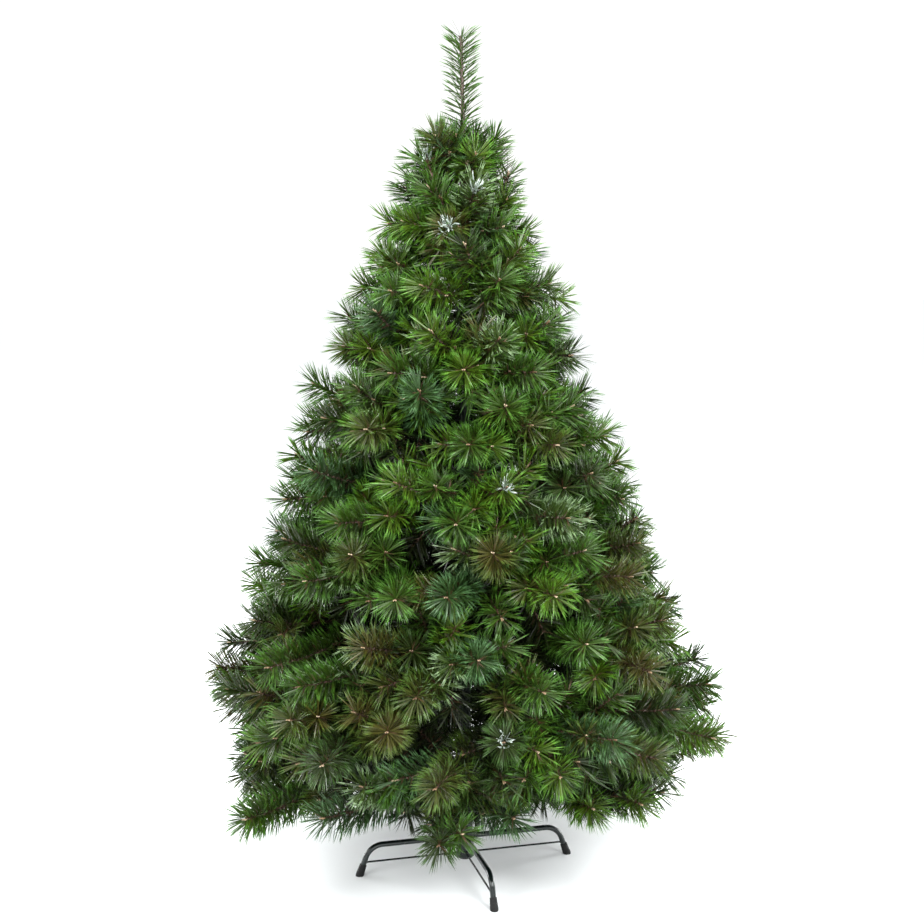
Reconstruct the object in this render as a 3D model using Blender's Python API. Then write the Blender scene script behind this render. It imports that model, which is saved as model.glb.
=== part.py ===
"""An artificial Christmas tree of 1.8 m on a folding metal stand with four legs.

Metres, +Z up. The pole stands on the Z axis and the feet stand at z = 0. The front of the tree
looks along -Y. Nine tiers of boughs fan out from collars on the pole, and the leader stands on its
top. Each bough's foliage is one closed solid: a stem, its twigs, and the needles on their ends.
"""

import math
import random
from dataclasses import dataclass, field

import bmesh
import bpy
from mathutils import Vector
from mathutils.kdtree import KDTree

# Whole tree
TREE_HEIGHT = 1.800
GAP = 0.0003
UP = Vector((0.0, 0.0, 1.0))

# Stand
LEG_COUNT = 4
FIRST_LEG_DEG = 14.5
LEG_HEIGHT = 0.066
LEG_TUBE_RADIUS = 0.006
LEG_STRAIGHT_END = 0.185
LEG_BEND_RADIUS = 0.040
LEG_BEND_DEG = 70.0
LEG_END_HEIGHT = 0.0050
LEG_BEND_STEPS = 5
LEG_SIDES = 8
BRACE_RADIUS = 0.0021
BRACE_HEIGHT = 0.029
BRACE_SIDES = 6
CAP_RADIUS = 0.0088
CAP_BORE = LEG_TUBE_RADIUS + 0.0007
CAP_LENGTH = 0.021
CAP_SIDES = 10
HUB_RADIUS = 0.0165
HUB_BORE = 0.0128
HUB_FLOOR = 0.018
HUB_FLOOR_THICKNESS = 0.003
HUB_TOP = 0.150
HUB_SIDES = 12
SLEEVE_RADIUS = 0.0200
SLEEVES = ((LEG_HEIGHT, 0.013), (BRACE_HEIGHT, 0.007))
SCREW_HEIGHT = 0.122
SCREW_DEG = -118.0
SCREW_RADIUS = 0.0030
SCREW_LENGTH = 0.020
SCREW_WING_WIDTH = 0.020
SCREW_WING_HEIGHT = 0.011
SCREW_WING_THICKNESS = 0.003
SCREW_WING_OUTLINE = ((0.0, -0.4), (0.35, -1.0), (1.0, -1.0), (1.0, 1.0), (0.35, 1.0), (0.0, 0.4))

# Pole: the top of each section with the section's radius, and the sleeves at the joints
POLE_SIDES = 8
POLE_TOP = 1.445
POLE_SECTIONS = ((0.610, 0.0120), (1.065, 0.0108), (POLE_TOP, 0.0092))
POLE_SLEEVE_LENGTH = 0.045
POLE_SLEEVE_WALL = 0.0016
COLLAR_RADIUS = 0.0180
COLLAR_HEIGHT = 0.014

# Crown
TIER_BOUGHS = (5, 5, 5, 5, 4, 4, 4, 3, 3)
TIER_TWIGS = (6, 6, 5, 5, 5, 5, 5, 5, 5)
TIER_FIRST_DEG = (-95.6, -64.8, -100.0, -66.0, -92.0, -50.0, -86.0, -60.0, -95.0)
TIERS = len(TIER_BOUGHS)
TIP_HEIGHTS = (0.262, 0.412, 0.566, 0.718, 0.868, 1.014, 1.156, 1.294, 1.428)
CROWN_RADIUS = 0.590
CROWN_LIMITS = (0.535, 0.575)
CROWN_TOP = 1.570
CROWN_TOP_RADIUS = 0.108
CROWN_TAPER = 0.405
CROWN_LEAN = -0.020
CROWN_LEAN_FROM = 0.65
CROWN_LEAN_TO = 0.90
FRONT_LIFT = 0.050
DRAWN_IN = 0.14
DRAWN_IN_DEG = -48.0
LOWEST_NEEDLE = 0.150
BARE_TIERS = 2
BARE_BOUGH_END = 0.140
BOUGH_RADII = (0.0048, 0.0036)
BOUGH_SIDES = 6
STEM_RADII = (0.0060, 0.0046)
STEM_SIDES = 4
STEM_STEPS = 3
FLAT_START = 0.010
BOUGH_LIFT_SPREAD = 0.022

# Twigs
TWIG_START = 0.72
TWIG_START_AT_SIDE = 0.42
STEM_PAST_LAST_TWIG = 0.012
TWIG_RISE = 0.036
TWIG_RISE_SPREAD = 0.008
TWIG_TURN_SPREAD_DEG = 1.5
REACH_SPREAD = (0.94, 1.02)
TWIG_LIFT = 0.075
TWIG_BOW = -0.05
TWIG_ROOT_RADIUS = 0.0024
TWIG_RADII = (0.0052, 0.0056, 0.0038)
SKELETON_STEP = 0.012

# Twigs that stand apart from their neighbours. The key is the tier, the bough and the twig, from 0.
# The values are how far the twig is turned, how much further out it ends and how much higher.
TWIGS_APART = {
    (0, 0, 2): (4.9, 0.033, -0.021),
    (0, 1, 1): (0.0, 0.050, -0.060),
    (0, 1, 5): (-5.0, 0.068, 0.000),
    (0, 4, 2): (0.0, -0.020, 0.000),
    (0, 4, 5): (-3.0, 0.063, -0.077),
    (1, 2, 4): (0.0, 0.020, 0.000),
    (1, 3, 4): (0.0, 0.020, 0.000),
    (1, 3, 5): (0.0, 0.035, 0.000),
    (1, 4, 0): (0.0, -0.030, 0.000),
    (2, 1, 3): (0.0, -0.020, 0.000),
    (2, 1, 4): (0.0, -0.030, 0.000),
    (2, 4, 1): (0.0, 0.015, 0.020),
    (3, 1, 1): (0.0, -0.030, 0.000),
    (5, 2, 4): (0.0, 0.030, 0.000),
    (5, 3, 0): (0.0, 0.030, 0.000),
}

# Needles
NEEDLED_LENGTH = 0.130
NEEDLED_SHARE = 0.80
NEEDLE_LENGTH = 0.064
NEEDLE_LEANS_DEG = (60.0, 62.0, 50.0)
STEM_LEAN_DEG = 58.0
LONG_BAND = 0.045
NEEDLE_REACH = 0.040
RING_TURN_DEG = 75.0
END_NEEDLE_LENGTH = 0.044
NEEDLE_SHARES = (1.0, 0.88, 0.76, 0.64, 0.52, 0.40)
NEEDLE_CLEARANCE = 0.0020
POLE_CLEARANCE = 0.006

# Leader, the upright tip above the crown, with the twigs round its foot
LEADER_RADIUS = 0.0048
LEADER_NEEDLES_FROM = 1.580
LEADER_END = 1.7555
LEADER_SHIFT = -0.009
LEADER_LEANS_DEG = (0.0, 58.0, 58.0, 56.0, 50.0)
LEADER_NEEDLE_LENGTH = 0.053
LEADER_TWIGS = 6
LEADER_TWIGS_FROM = 1.475
LEADER_TWIG_TIPS = 1.550
LEADER_TWIG_REACH = 0.080

# Colours: red, green, blue; then roughness and metallic
FINISHES = {
    "needles": ((0.050, 0.165, 0.035), 0.45, 0.0),
    "painted_steel": ((0.018, 0.032, 0.028), 0.35, 0.6),
    "pole_paint": ((0.030, 0.050, 0.030), 0.45, 0.4),
    "bough_wire": ((0.085, 0.045, 0.025), 0.60, 0.2),
    "foot_rubber": ((0.012, 0.012, 0.012), 0.75, 0.0),
}


def clear_scene():
    for leftover in list(bpy.data.objects):
        bpy.data.objects.remove(leftover, do_unlink=True)


def material(name):
    """The named finish as a Principled material, made once."""
    made = bpy.data.materials.get(name)
    if made:
        return made
    colour, roughness, metallic = FINISHES[name]
    made = bpy.data.materials.new(name)
    made.use_nodes = True
    shader = made.node_tree.nodes["Principled BSDF"]
    shader.inputs["Base Color"].default_value = (*colour, 1.0)
    shader.inputs["Roughness"].default_value = roughness
    shader.inputs["Metallic"].default_value = metallic
    made.diffuse_color = (*colour, 1.0)
    return made


def object_from(name, mesh_data, finish, smooth_below_deg=None):
    """A new object in the scene from a bmesh, with its faces turned outwards."""
    bmesh.ops.recalc_face_normals(mesh_data, faces=mesh_data.faces)
    mesh = bpy.data.meshes.new(name)
    mesh_data.to_mesh(mesh)
    mesh_data.free()
    mesh.materials.append(material(finish))
    if smooth_below_deg:
        mesh.shade_smooth()
        mesh.set_sharp_from_angle(angle=math.radians(smooth_below_deg))
    made = bpy.data.objects.new(name, mesh)
    bpy.context.scene.collection.objects.link(made)
    return made


def joined(base, others):
    """Fuses the other objects into the base with one Boolean union, and removes them."""
    group = bpy.data.collections.new(base.name + "_pieces")
    bpy.context.scene.collection.children.link(group)
    for other in others:
        bpy.context.scene.collection.objects.unlink(other)
        group.objects.link(other)
    union = base.modifiers.new("join", "BOOLEAN")
    union.operation = "UNION"
    union.operand_type = "COLLECTION"
    union.collection = group
    union.solver = "EXACT"
    bpy.context.view_layer.update()
    graph = bpy.context.evaluated_depsgraph_get()
    fused = bpy.data.meshes.new_from_object(base.evaluated_get(graph))
    base.modifiers.clear()
    base.data = fused
    for other in others:
        bpy.data.objects.remove(other, do_unlink=True)
    bpy.data.collections.remove(group)
    return base


def compass(degrees):
    """The level unit vector at that azimuth, counted from +X towards +Y."""
    return Vector((math.cos(math.radians(degrees)), math.sin(math.radians(degrees)), 0.0))


def frames(path, square_start=None):
    """At each point of a path, its heading and two more unit vectors square to it and each other.

    The pair is carried along the path, so a tube swept with it doesn't twist.
    """
    found = []
    side = None
    for k in range(len(path)):
        heading = (path[min(k + 1, len(path) - 1)] - path[max(k - 1, 0)]).normalized()
        if k == 0 and square_start is not None:
            heading = square_start
        if side is None:
            reference = Vector((1.0, 0.0, 0.0)) if abs(heading.z) > 0.95 else UP
            side = heading.cross(reference)
        side = (side - heading * side.dot(heading)).normalized()
        found.append((heading, side, side.cross(heading)))
    return found


def reach_of_polygon(radius, sides, azimuth):
    """How far an upright polygon with a corner on +X reaches towards an azimuth."""
    side = 360.0 / sides
    from_corner = (azimuth + side / 2) % side - side / 2
    return radius * math.cos(math.radians(from_corner))


def polygon(centre, frame, radius, sides, turn_deg=0.0):
    """The corners of a regular polygon round a centre, square to the frame's heading."""
    _, side, rise = frame
    corners = []
    for k in range(sides):
        angle = math.radians(turn_deg) + 2 * math.pi * k / sides
        corners.append(centre + radius * (math.cos(angle) * side + math.sin(angle) * rise))
    return corners


def add_tube(mesh_data, path, radii, sides, square_start=None):
    """Sweeps a regular polygon along a path and closes both ends."""
    rows = []
    for point, frame, radius in zip(path, frames(path, square_start), radii):
        corners = polygon(point, frame, radius, sides)
        rows.append([mesh_data.verts.new(corner) for corner in corners])
    add_bands(mesh_data, rows)
    mesh_data.faces.new(rows[0])
    mesh_data.faces.new(rows[-1])


def add_bands(mesh_data, rows):
    """Joins each row of corners to the next with four-sided faces."""
    for lower, upper in zip(rows, rows[1:]):
        count = len(lower)
        for k in range(count):
            following = (k + 1) % count
            mesh_data.faces.new((lower[k], lower[following], upper[following], upper[k]))


def turned(name, profile, sides, finish):
    """A solid of revolution about Z from (radius, height) points that start and end on the axis."""
    mesh_data = bmesh.new()
    rows = []
    for radius, height in profile:
        if radius == 0.0:
            rows.append([mesh_data.verts.new((0.0, 0.0, height))])
            continue
        centre = Vector((0.0, 0.0, height))
        corners = [centre + radius * compass(360.0 * k / sides) for k in range(sides)]
        rows.append([mesh_data.verts.new(corner) for corner in corners])
    for lower, upper in zip(rows, rows[1:]):
        for k in range(sides):
            following = (k + 1) % sides
            if len(lower) == 1:
                mesh_data.faces.new((lower[0], upper[following], upper[k]))
            elif len(upper) == 1:
                mesh_data.faces.new((lower[k], lower[following], upper[0]))
            else:
                mesh_data.faces.new((lower[k], lower[following], upper[following], upper[k]))
    return object_from(name, mesh_data, finish, smooth_below_deg=40.0)


# Stand


def leg_path(azimuth):
    """The leg tube's centre line: level from the hub, round its bend, and down to the foot."""
    outward = compass(azimuth)
    inner = reach_of_polygon(SLEEVE_RADIUS, HUB_SIDES, azimuth) + GAP
    points = [outward * reach + UP * LEG_HEIGHT for reach in (inner, LEG_STRAIGHT_END)]
    for step in range(1, LEG_BEND_STEPS + 1):
        turn = math.radians(LEG_BEND_DEG * step / LEG_BEND_STEPS)
        reach = LEG_STRAIGHT_END + LEG_BEND_RADIUS * math.sin(turn)
        height = LEG_HEIGHT - LEG_BEND_RADIUS * (1.0 - math.cos(turn))
        points.append(outward * reach + UP * height)
    slope = math.radians(LEG_BEND_DEG)
    down = outward * math.cos(slope) - UP * math.sin(slope)
    points.append(points[-1] + down * (points[-1].z - LEG_END_HEIGHT) / math.sin(slope))
    return points, down


def make_leg(index):
    """One bent leg tube with its brace rod welded between the bend and the hub."""
    azimuth = FIRST_LEG_DEG + 360.0 * index / LEG_COUNT
    path, _ = leg_path(azimuth)
    tube = bmesh.new()
    add_tube(tube, path, [LEG_TUBE_RADIUS] * len(path), LEG_SIDES)
    leg = object_from(f"stand_leg_{index + 1}", tube, "painted_steel", smooth_below_deg=50.0)
    outward = compass(azimuth)
    bend_end, foot_end = path[-2], path[-1]
    share = (bend_end.z - BRACE_HEIGHT) / (bend_end.z - foot_end.z)
    weld = bend_end.lerp(foot_end, share)
    rod = bmesh.new()
    inner = outward * Vector((path[0].x, path[0].y)).length + UP * BRACE_HEIGHT
    add_tube(rod, [inner, weld], [BRACE_RADIUS] * 2, BRACE_SIDES)
    joined(leg, [object_from("brace", rod, "painted_steel")])


def make_foot_cap(index):
    """A rubber cup over the leg's end, in line with the leg, cut level where it stands."""
    azimuth = FIRST_LEG_DEG + 360.0 * index / LEG_COUNT
    path, down = leg_path(azimuth)
    seat = path[-1] + down * GAP
    rim = path[-1] - down * CAP_LENGTH
    frame = frames([rim, seat])[0]
    sole = []
    for corner in polygon(seat, frame, CAP_RADIUS, CAP_SIDES):
        sole.append(corner - down * (corner.z / down.z))
    rows = [
        sole,
        polygon(rim, frame, CAP_RADIUS * 0.92, CAP_SIDES),
        polygon(rim, frame, CAP_BORE, CAP_SIDES),
        polygon(seat, frame, CAP_BORE, CAP_SIDES),
    ]
    mesh_data = bmesh.new()
    rows = [[mesh_data.verts.new(corner) for corner in row] for row in rows]
    add_bands(mesh_data, rows)
    mesh_data.faces.new(rows[0])
    mesh_data.faces.new(rows[-1])
    object_from(f"foot_cap_{index + 1}", mesh_data, "foot_rubber", smooth_below_deg=50.0)


def make_hub():
    """The socket that the pole stands in, with the two sleeves that carry the legs."""
    profile = [(0.0, HUB_FLOOR), (HUB_RADIUS, HUB_FLOOR)]
    for height, half in sorted(SLEEVES, key=lambda sleeve: sleeve[0]):
        profile += [(HUB_RADIUS, height - half), (SLEEVE_RADIUS, height - half)]
        profile += [(SLEEVE_RADIUS, height + half), (HUB_RADIUS, height + half)]
    profile += [(HUB_RADIUS, HUB_TOP), (HUB_BORE, HUB_TOP)]
    profile += [(HUB_BORE, HUB_FLOOR + HUB_FLOOR_THICKNESS), (0.0, HUB_FLOOR + HUB_FLOOR_THICKNESS)]
    hub = turned("stand_hub", profile, HUB_SIDES, "painted_steel")
    outward = compass(SCREW_DEG)
    sideways = compass(SCREW_DEG + 90.0)
    root = outward * (HUB_BORE + 0.45 * (HUB_RADIUS - HUB_BORE)) + UP * SCREW_HEIGHT
    shank_end = outward * (HUB_RADIUS + SCREW_LENGTH) + UP * SCREW_HEIGHT
    shank = bmesh.new()
    add_tube(shank, [root, shank_end], [SCREW_RADIUS] * 2, BRACE_SIDES)
    wing = bmesh.new()
    corners = []
    wing_start = shank_end - outward * SCREW_RADIUS
    for side in (-1, 1):
        face = []
        for reach, height in SCREW_WING_OUTLINE:
            face.append(
                wing_start
                + outward * reach * SCREW_WING_HEIGHT
                + UP * height * SCREW_WING_WIDTH / 2
                + sideways * side * SCREW_WING_THICKNESS / 2
            )
        corners.append([wing.verts.new(corner) for corner in face])
    count = len(corners[0])
    for k in range(count):
        following = (k + 1) % count
        wing.faces.new((corners[0][k], corners[0][following], corners[1][following], corners[1][k]))
    wing.faces.new(corners[0])
    wing.faces.new(corners[1])
    shank = object_from("shank", shank, "painted_steel")
    wing = object_from("wing", wing, "painted_steel")
    joined(hub, [shank, wing])


# Pole


def pole_radius(height):
    for top, radius in POLE_SECTIONS:
        if height <= top:
            return radius
    return POLE_SECTIONS[-1][1]


def make_pole():
    """The pole: three sections, each slimmer than the one below, with joint sleeves and collars."""
    bottom = HUB_FLOOR + HUB_FLOOR_THICKNESS + GAP
    rings = [(root_height(tier), COLLAR_HEIGHT / 2, COLLAR_RADIUS) for tier in range(TIERS)]
    for top, radius in POLE_SECTIONS[:-1]:
        rings.append((top, POLE_SLEEVE_LENGTH / 2, radius + POLE_SLEEVE_WALL))
    profile = [(0.0, bottom), (POLE_SECTIONS[0][1], bottom)]
    for height, half, radius in sorted(rings):
        profile += [(pole_radius(height - half), height - half), (radius, height - half)]
        profile += [(radius, height + half), (pole_radius(height + half), height + half)]
    profile += [(POLE_SECTIONS[-1][1], POLE_TOP), (0.0, POLE_TOP)]
    turned("pole", profile, POLE_SIDES, "pole_paint")


# Crown


@dataclass
class Mass:
    """One bough's foliage as lines: where its stem runs, and where each twig does."""

    name: str
    stem: list
    square_start: Vector
    twigs: list = field(default_factory=list)


def tip_radius(tier, height):
    """How far the ends of a tier's twigs are from the pole at a height."""
    taper = CROWN_TOP_RADIUS + CROWN_TAPER * (CROWN_TOP - height)
    limit = CROWN_LIMITS[min(tier, len(CROWN_LIMITS) - 1)]
    return min(taper, limit) - NEEDLE_REACH


def climb(tier):
    """The slope of a tier's boughs. The lowest droop a little, and the top ones stand up."""
    return math.tan(math.radians(-2.0 + 0.55 * tier * tier))


def root_height(tier):
    reach = tip_radius(tier, TIP_HEIGHTS[tier])
    return TIP_HEIGHTS[tier] - climb(tier) * (reach - COLLAR_RADIUS - FLAT_START)


def collar_face(azimuth):
    """How far the pole's collars reach towards an azimuth."""
    return reach_of_polygon(COLLAR_RADIUS, POLE_SIDES, azimuth)


def bough_azimuth(tier, index):
    return TIER_FIRST_DEG[tier] + 360.0 * index / TIER_BOUGHS[tier]


def bough_lift(tier, index):
    """How much higher or lower than its tier a bough's tips are. The lowest tier is even."""
    if tier == 0:
        return 0.0
    return random.Random(40 + 10 * tier + index).uniform(-BOUGH_LIFT_SPREAD, BOUGH_LIFT_SPREAD)


def stem_point(tier, index, radius):
    """The point of a bough's centre line at a distance from the pole."""
    reach = tip_radius(tier, TIP_HEIGHTS[tier]) - COLLAR_RADIUS - FLAT_START
    slope = climb(tier) + bough_lift(tier, index) / reach
    height = root_height(tier) + slope * max(radius - COLLAR_RADIUS - FLAT_START, 0.0)
    return compass(bough_azimuth(tier, index)) * radius + UP * height


def twig_path(root, tip):
    """A twig's centre line, which leaves its stem along the bough and lifts towards its end."""
    span = tip - root
    outward = Vector((root.x, root.y, 0.0))
    outward = outward.normalized() if outward.length > 0.005 else UP
    bend = root + span * 0.5 - UP * span.length * TWIG_LIFT + outward * span.length * TWIG_BOW
    needled = min(NEEDLED_LENGTH, span.length * NEEDLED_SHARE) / span.length
    bands = len(NEEDLE_LEANS_DEG) - 1
    path = []
    for share in [0.0] + [1.0 - needled * (1.0 - k / bands) for k in range(bands + 1)]:
        path.append(root.lerp(bend, share).lerp(bend.lerp(tip, share), share))
    return path


def bare_bough(tier, index):
    """The centre line of the bare steel arm between a collar and its foliage."""
    start = collar_face(bough_azimuth(tier, index)) + GAP
    return [stem_point(tier, index, reach) for reach in (start, start + FLAT_START, BARE_BOUGH_END)]


def twig_tip(tier, azimuth, rise, dice):
    """Where a twig of a tier ends, near the crown's surface at an azimuth.

    The lowest tier is lifted at the front, over the stand, and drawn in at the front right.
    """
    height = TIP_HEIGHTS[tier] + rise + dice.uniform(-TWIG_RISE_SPREAD, TWIG_RISE_SPREAD)
    reach = tip_radius(tier, height) * dice.uniform(*REACH_SPREAD)
    if tier == 0:
        height += FRONT_LIFT * max(0.0, -compass(azimuth).y) ** 2
        reach *= 1.0 - DRAWN_IN * max(0.0, compass(azimuth).dot(compass(DRAWN_IN_DEG))) ** 2
    return azimuth, reach, height


def crown_shift(height):
    """How far the crown leans to the side at a height."""
    share = (height - CROWN_LEAN_FROM) / (CROWN_LEAN_TO - CROWN_LEAN_FROM)
    return CROWN_LEAN * min(max(share, 0.0), 1.0)


def plan_bough(tier, index):
    """The stem and twigs of one bough. Their tips lie evenly over its part of the crown."""
    count = TIER_TWIGS[tier]
    half = 180.0 / TIER_BOUGHS[tier]
    middle = bough_azimuth(tier, index)
    dice = random.Random(100 * tier + index)
    last = count // 2
    tips = []
    starts = []
    for k in range(count):
        offset = (k - (count - 1) / 2) * 2 * half / count
        rise = TWIG_RISE if (k + index * count) % 2 else -TWIG_RISE
        turn = offset + dice.uniform(-TWIG_TURN_SPREAD_DEG, TWIG_TURN_SPREAD_DEG)
        azimuth, reach, height = twig_tip(tier, middle + turn, rise, dice)
        height += bough_lift(tier, index)
        turned_by, further, higher = TWIGS_APART.get((tier, index, k), (0.0, 0.0, 0.0))
        tip = compass(azimuth + turned_by) * (reach + further) + UP * (height + higher)
        tip.x += crown_shift(height)
        tips.append(tip)
        share = TWIG_START - TWIG_START_AT_SIDE * abs(offset) / half
        starts.append(share * math.hypot(tip.x, tip.y))
    starts[last] = 0.0
    if tier < BARE_TIERS:
        bare = bare_bough(tier, index)
        square = (bare[2] - bare[1]).normalized()
        stem = [bare[2] + square * GAP]
        inner = BARE_BOUGH_END
    else:
        square = compass(middle)
        inner = collar_face(middle) + GAP + FLAT_START
        stem = [stem_point(tier, index, inner - FLAT_START), stem_point(tier, index, inner)]
    outer = max(starts) + STEM_PAST_LAST_TWIG
    starts[last] = outer - STEM_PAST_LAST_TWIG
    for step in range(1, STEM_STEPS + 1):
        stem.append(stem_point(tier, index, inner + (outer - inner) * step / STEM_STEPS))
    twigs = [twig_path(stem_point(tier, index, start), tip) for start, tip in zip(starts, tips)]
    return Mass(f"foliage_{tier + 1}_{index + 1}", stem, square, twigs)


def plan_leader():
    """The leader's stem, its needled upper end, and the twigs round its foot."""
    shift = Vector((LEADER_SHIFT, 0.0, 0.0))
    base = UP * (POLE_TOP + GAP)
    start = UP * LEADER_NEEDLES_FROM + shift * 0.5
    end = UP * LEADER_END + shift
    bands = len(LEADER_LEANS_DEG) - 1
    brush = [base.lerp(start, 0.85)]
    brush += [start.lerp(end, band / bands) for band in range(bands + 1)]
    leader = Mass("leader", [base, base.lerp(start, 0.9)], UP, [brush])
    dice = random.Random(1000)
    for k in range(LEADER_TWIGS):
        azimuth = 360.0 * k / LEADER_TWIGS + dice.uniform(-8.0, 8.0)
        rise = TWIG_RISE * 0.5 * (-1) ** k
        tip = compass(azimuth) * LEADER_TWIG_REACH + UP * (LEADER_TWIG_TIPS + rise)
        tip.x += crown_shift(tip.z)
        root = UP * (LEADER_TWIGS_FROM + rise * 0.5)
        leader.twigs.append(twig_path(root, tip))
    return leader


class Room:
    """The space round the wood. Each point belongs to the stem or twig that is nearest."""

    def __init__(self, masses):
        self.owners = []
        points = []
        for mass in masses:
            for number, path in enumerate([mass.stem, *mass.twigs]):
                for start, end in zip(path, path[1:]):
                    steps = max(1, math.ceil((end - start).length / SKELETON_STEP))
                    points += [start.lerp(end, k / steps) for k in range(steps + 1)]
                    self.owners += [(mass.name, number)] * (steps + 1)
        self.tree = KDTree(len(points))
        for k, point in enumerate(points):
            self.tree.insert(point, k)
        self.tree.balance()

    def holds(self, point, owner):
        """Whether a point lies well inside the owner's space, and clear of the pole and stand."""
        radius = math.hypot(point.x, point.y)
        if point.z < LOWEST_NEEDLE or point.z > TREE_HEIGHT or radius > CROWN_RADIUS:
            return False
        if point.z < POLE_TOP + POLE_CLEARANCE and radius < COLLAR_RADIUS + POLE_CLEARANCE:
            return False
        own = self.tree.find(point, filter=lambda k: self.owners[k] == owner)[2]
        other = self.tree.find(point, filter=lambda k: self.owners[k] != owner)[2]
        return (other - own) / 2 > NEEDLE_CLEARANCE

    def fitted_length(self, corners, start, heading, length, owner):
        """The length that a needle can have and still stay in its owner's space, or zero."""
        for share in NEEDLE_SHARES:
            apex = start + heading * length * share
            checked = [apex]
            for part in (0.4, 0.75):
                checked += [corner.lerp(apex, part) for corner in corners]
            if all(self.holds(point, owner) for point in checked):
                return length * share
        return 0.0


def draw_out(mesh_data, face, along, lean_deg, length, room, owner):
    """Turns one triangle of a core into a needle by poking it and pulling the new point out.

    The needle stands out of the core line, given by its two ends, and leans towards the second.
    """
    start = face.calc_center_median()
    heading = (along[1] - along[0]).normalized()
    outward = start - along[0]
    outward = outward - heading * outward.dot(heading)
    if outward.length > 1e-5:
        lean = math.radians(lean_deg)
        heading = heading * math.cos(lean) + outward.normalized() * math.sin(lean)
    corners = [vertex.co.copy() for vertex in face.verts]
    fitted = room.fitted_length(corners, start, heading, length, owner)
    if fitted > 0.0:
        made = bmesh.ops.poke(mesh_data, faces=[face])
        made["verts"][0].co = start + heading * fitted


def add_spray(mesh_data, path, radii, leans, needle_length, room, owner):
    """A twig with needles: a slim three-sided core whose faces are drawn out into needles.

    Each ring is turned against the one before, so a band between two rings has six triangles that
    face six ways. Every band has the needles' lean that is given for it, and the first band, whose
    root is sunk in the stem, has needles on every other triangle.
    """
    rows = []
    for k, (point, frame, radius) in enumerate(zip(path, frames(path), radii)):
        corners = polygon(point, frame, radius, 3, turn_deg=RING_TURN_DEG * k)
        rows.append([mesh_data.verts.new(corner) for corner in corners])
    drawn = []
    for band, (lower, upper) in enumerate(zip(rows, rows[1:])):
        for k in range(3):
            following = (k + 1) % 3
            rooted = mesh_data.faces.new((lower[k], lower[following], upper[k]))
            free = mesh_data.faces.new((lower[following], upper[following], upper[k]))
            drawn.append((free, band))
            if band > 0:
                drawn.append((rooted, band))
    mesh_data.faces.new(rows[0])
    end = mesh_data.faces.new(rows[-1])
    for face, band in drawn:
        along = (path[band], path[band + 1])
        if leans[band] and (along[1] - along[0]).length > LONG_BAND * 0.6:
            draw_out(mesh_data, face, along, leans[band], needle_length, room, owner)
    draw_out(mesh_data, end, (path[-2], path[-1]), 0.0, END_NEEDLE_LENGTH, room, owner)


def add_stem(mesh_data, path, radii, square_start, room, owner):
    """The four-sided stem of a mass, with needles above and below and none beside the twigs."""
    rows = []
    for point, frame, radius in zip(path, frames(path, square_start), radii):
        corners = polygon(point, frame, radius, STEM_SIDES, turn_deg=45.0)
        rows.append([mesh_data.verts.new(corner) for corner in corners])
    drawn = []
    for band, (lower, upper) in enumerate(zip(rows, rows[1:])):
        for k in range(STEM_SIDES):
            following = (k + 1) % STEM_SIDES
            one = mesh_data.faces.new((lower[k], lower[following], upper[k]))
            two = mesh_data.faces.new((lower[following], upper[following], upper[k]))
            if k % 2 == 0:
                drawn += [(one, band), (two, band)]
    mesh_data.faces.new(rows[0])
    mesh_data.faces.new(rows[-1])
    for face, band in drawn:
        along = (path[band], path[band + 1])
        if (along[1] - along[0]).length > LONG_BAND:
            draw_out(mesh_data, face, along, STEM_LEAN_DEG, NEEDLE_LENGTH, room, owner)


def make_bough(tier, index):
    """The bare steel arm between the collar and the foliage."""
    square = compass(bough_azimuth(tier, index))
    wire = bmesh.new()
    radii = [BOUGH_RADII[0], BOUGH_RADII[0], BOUGH_RADII[1]]
    add_tube(wire, bare_bough(tier, index), radii, BOUGH_SIDES, square_start=square)
    object_from(f"bough_{tier + 1}_{index + 1}", wire, "bough_wire", smooth_below_deg=60.0)


def make_mass(mass, room):
    """One foliage solid: its stem, and every twig with its needles, fused."""
    radii = []
    for k in range(len(mass.stem)):
        share = k / (len(mass.stem) - 1)
        radii.append(STEM_RADII[0] + (STEM_RADII[1] - STEM_RADII[0]) * share)
    stem_mesh = bmesh.new()
    add_stem(stem_mesh, mass.stem, radii, mass.square_start, room, (mass.name, 0))
    stem = object_from(mass.name, stem_mesh, "needles")
    twigs = []
    for number, path in enumerate(mass.twigs, start=1):
        leans, length = NEEDLE_LEANS_DEG, NEEDLE_LENGTH
        radii = [TWIG_ROOT_RADIUS, *TWIG_RADII]
        if mass.name == "leader" and number == 1:
            leans, length = LEADER_LEANS_DEG, LEADER_NEEDLE_LENGTH
            radii = [LEADER_RADIUS] * len(path)
            radii[0] *= 0.6
            radii[-1] *= 0.7
        twig_mesh = bmesh.new()
        add_spray(twig_mesh, path, radii, leans, length, room, (mass.name, number))
        twigs.append(object_from(f"twig_{number}", twig_mesh, "needles"))
    joined(stem, twigs)


def build():
    clear_scene()
    make_hub()
    for index in range(LEG_COUNT):
        make_leg(index)
        make_foot_cap(index)
    make_pole()
    masses = []
    for tier in range(TIERS):
        for index in range(TIER_BOUGHS[tier]):
            if tier < BARE_TIERS:
                make_bough(tier, index)
            masses.append(plan_bough(tier, index))
    masses.append(plan_leader())
    room = Room(masses)
    for mass in masses:
        make_mass(mass, room)


build()
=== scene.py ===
"""An artificial Christmas tree with all its needles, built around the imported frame.

The crown's rule is the one that the solids follow. Here every stem and twig is wire, finer twigs
branch off each twig within the same reach, and each carries needles of two faces. Metres, +Z up.
"""

import math
import random

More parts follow.
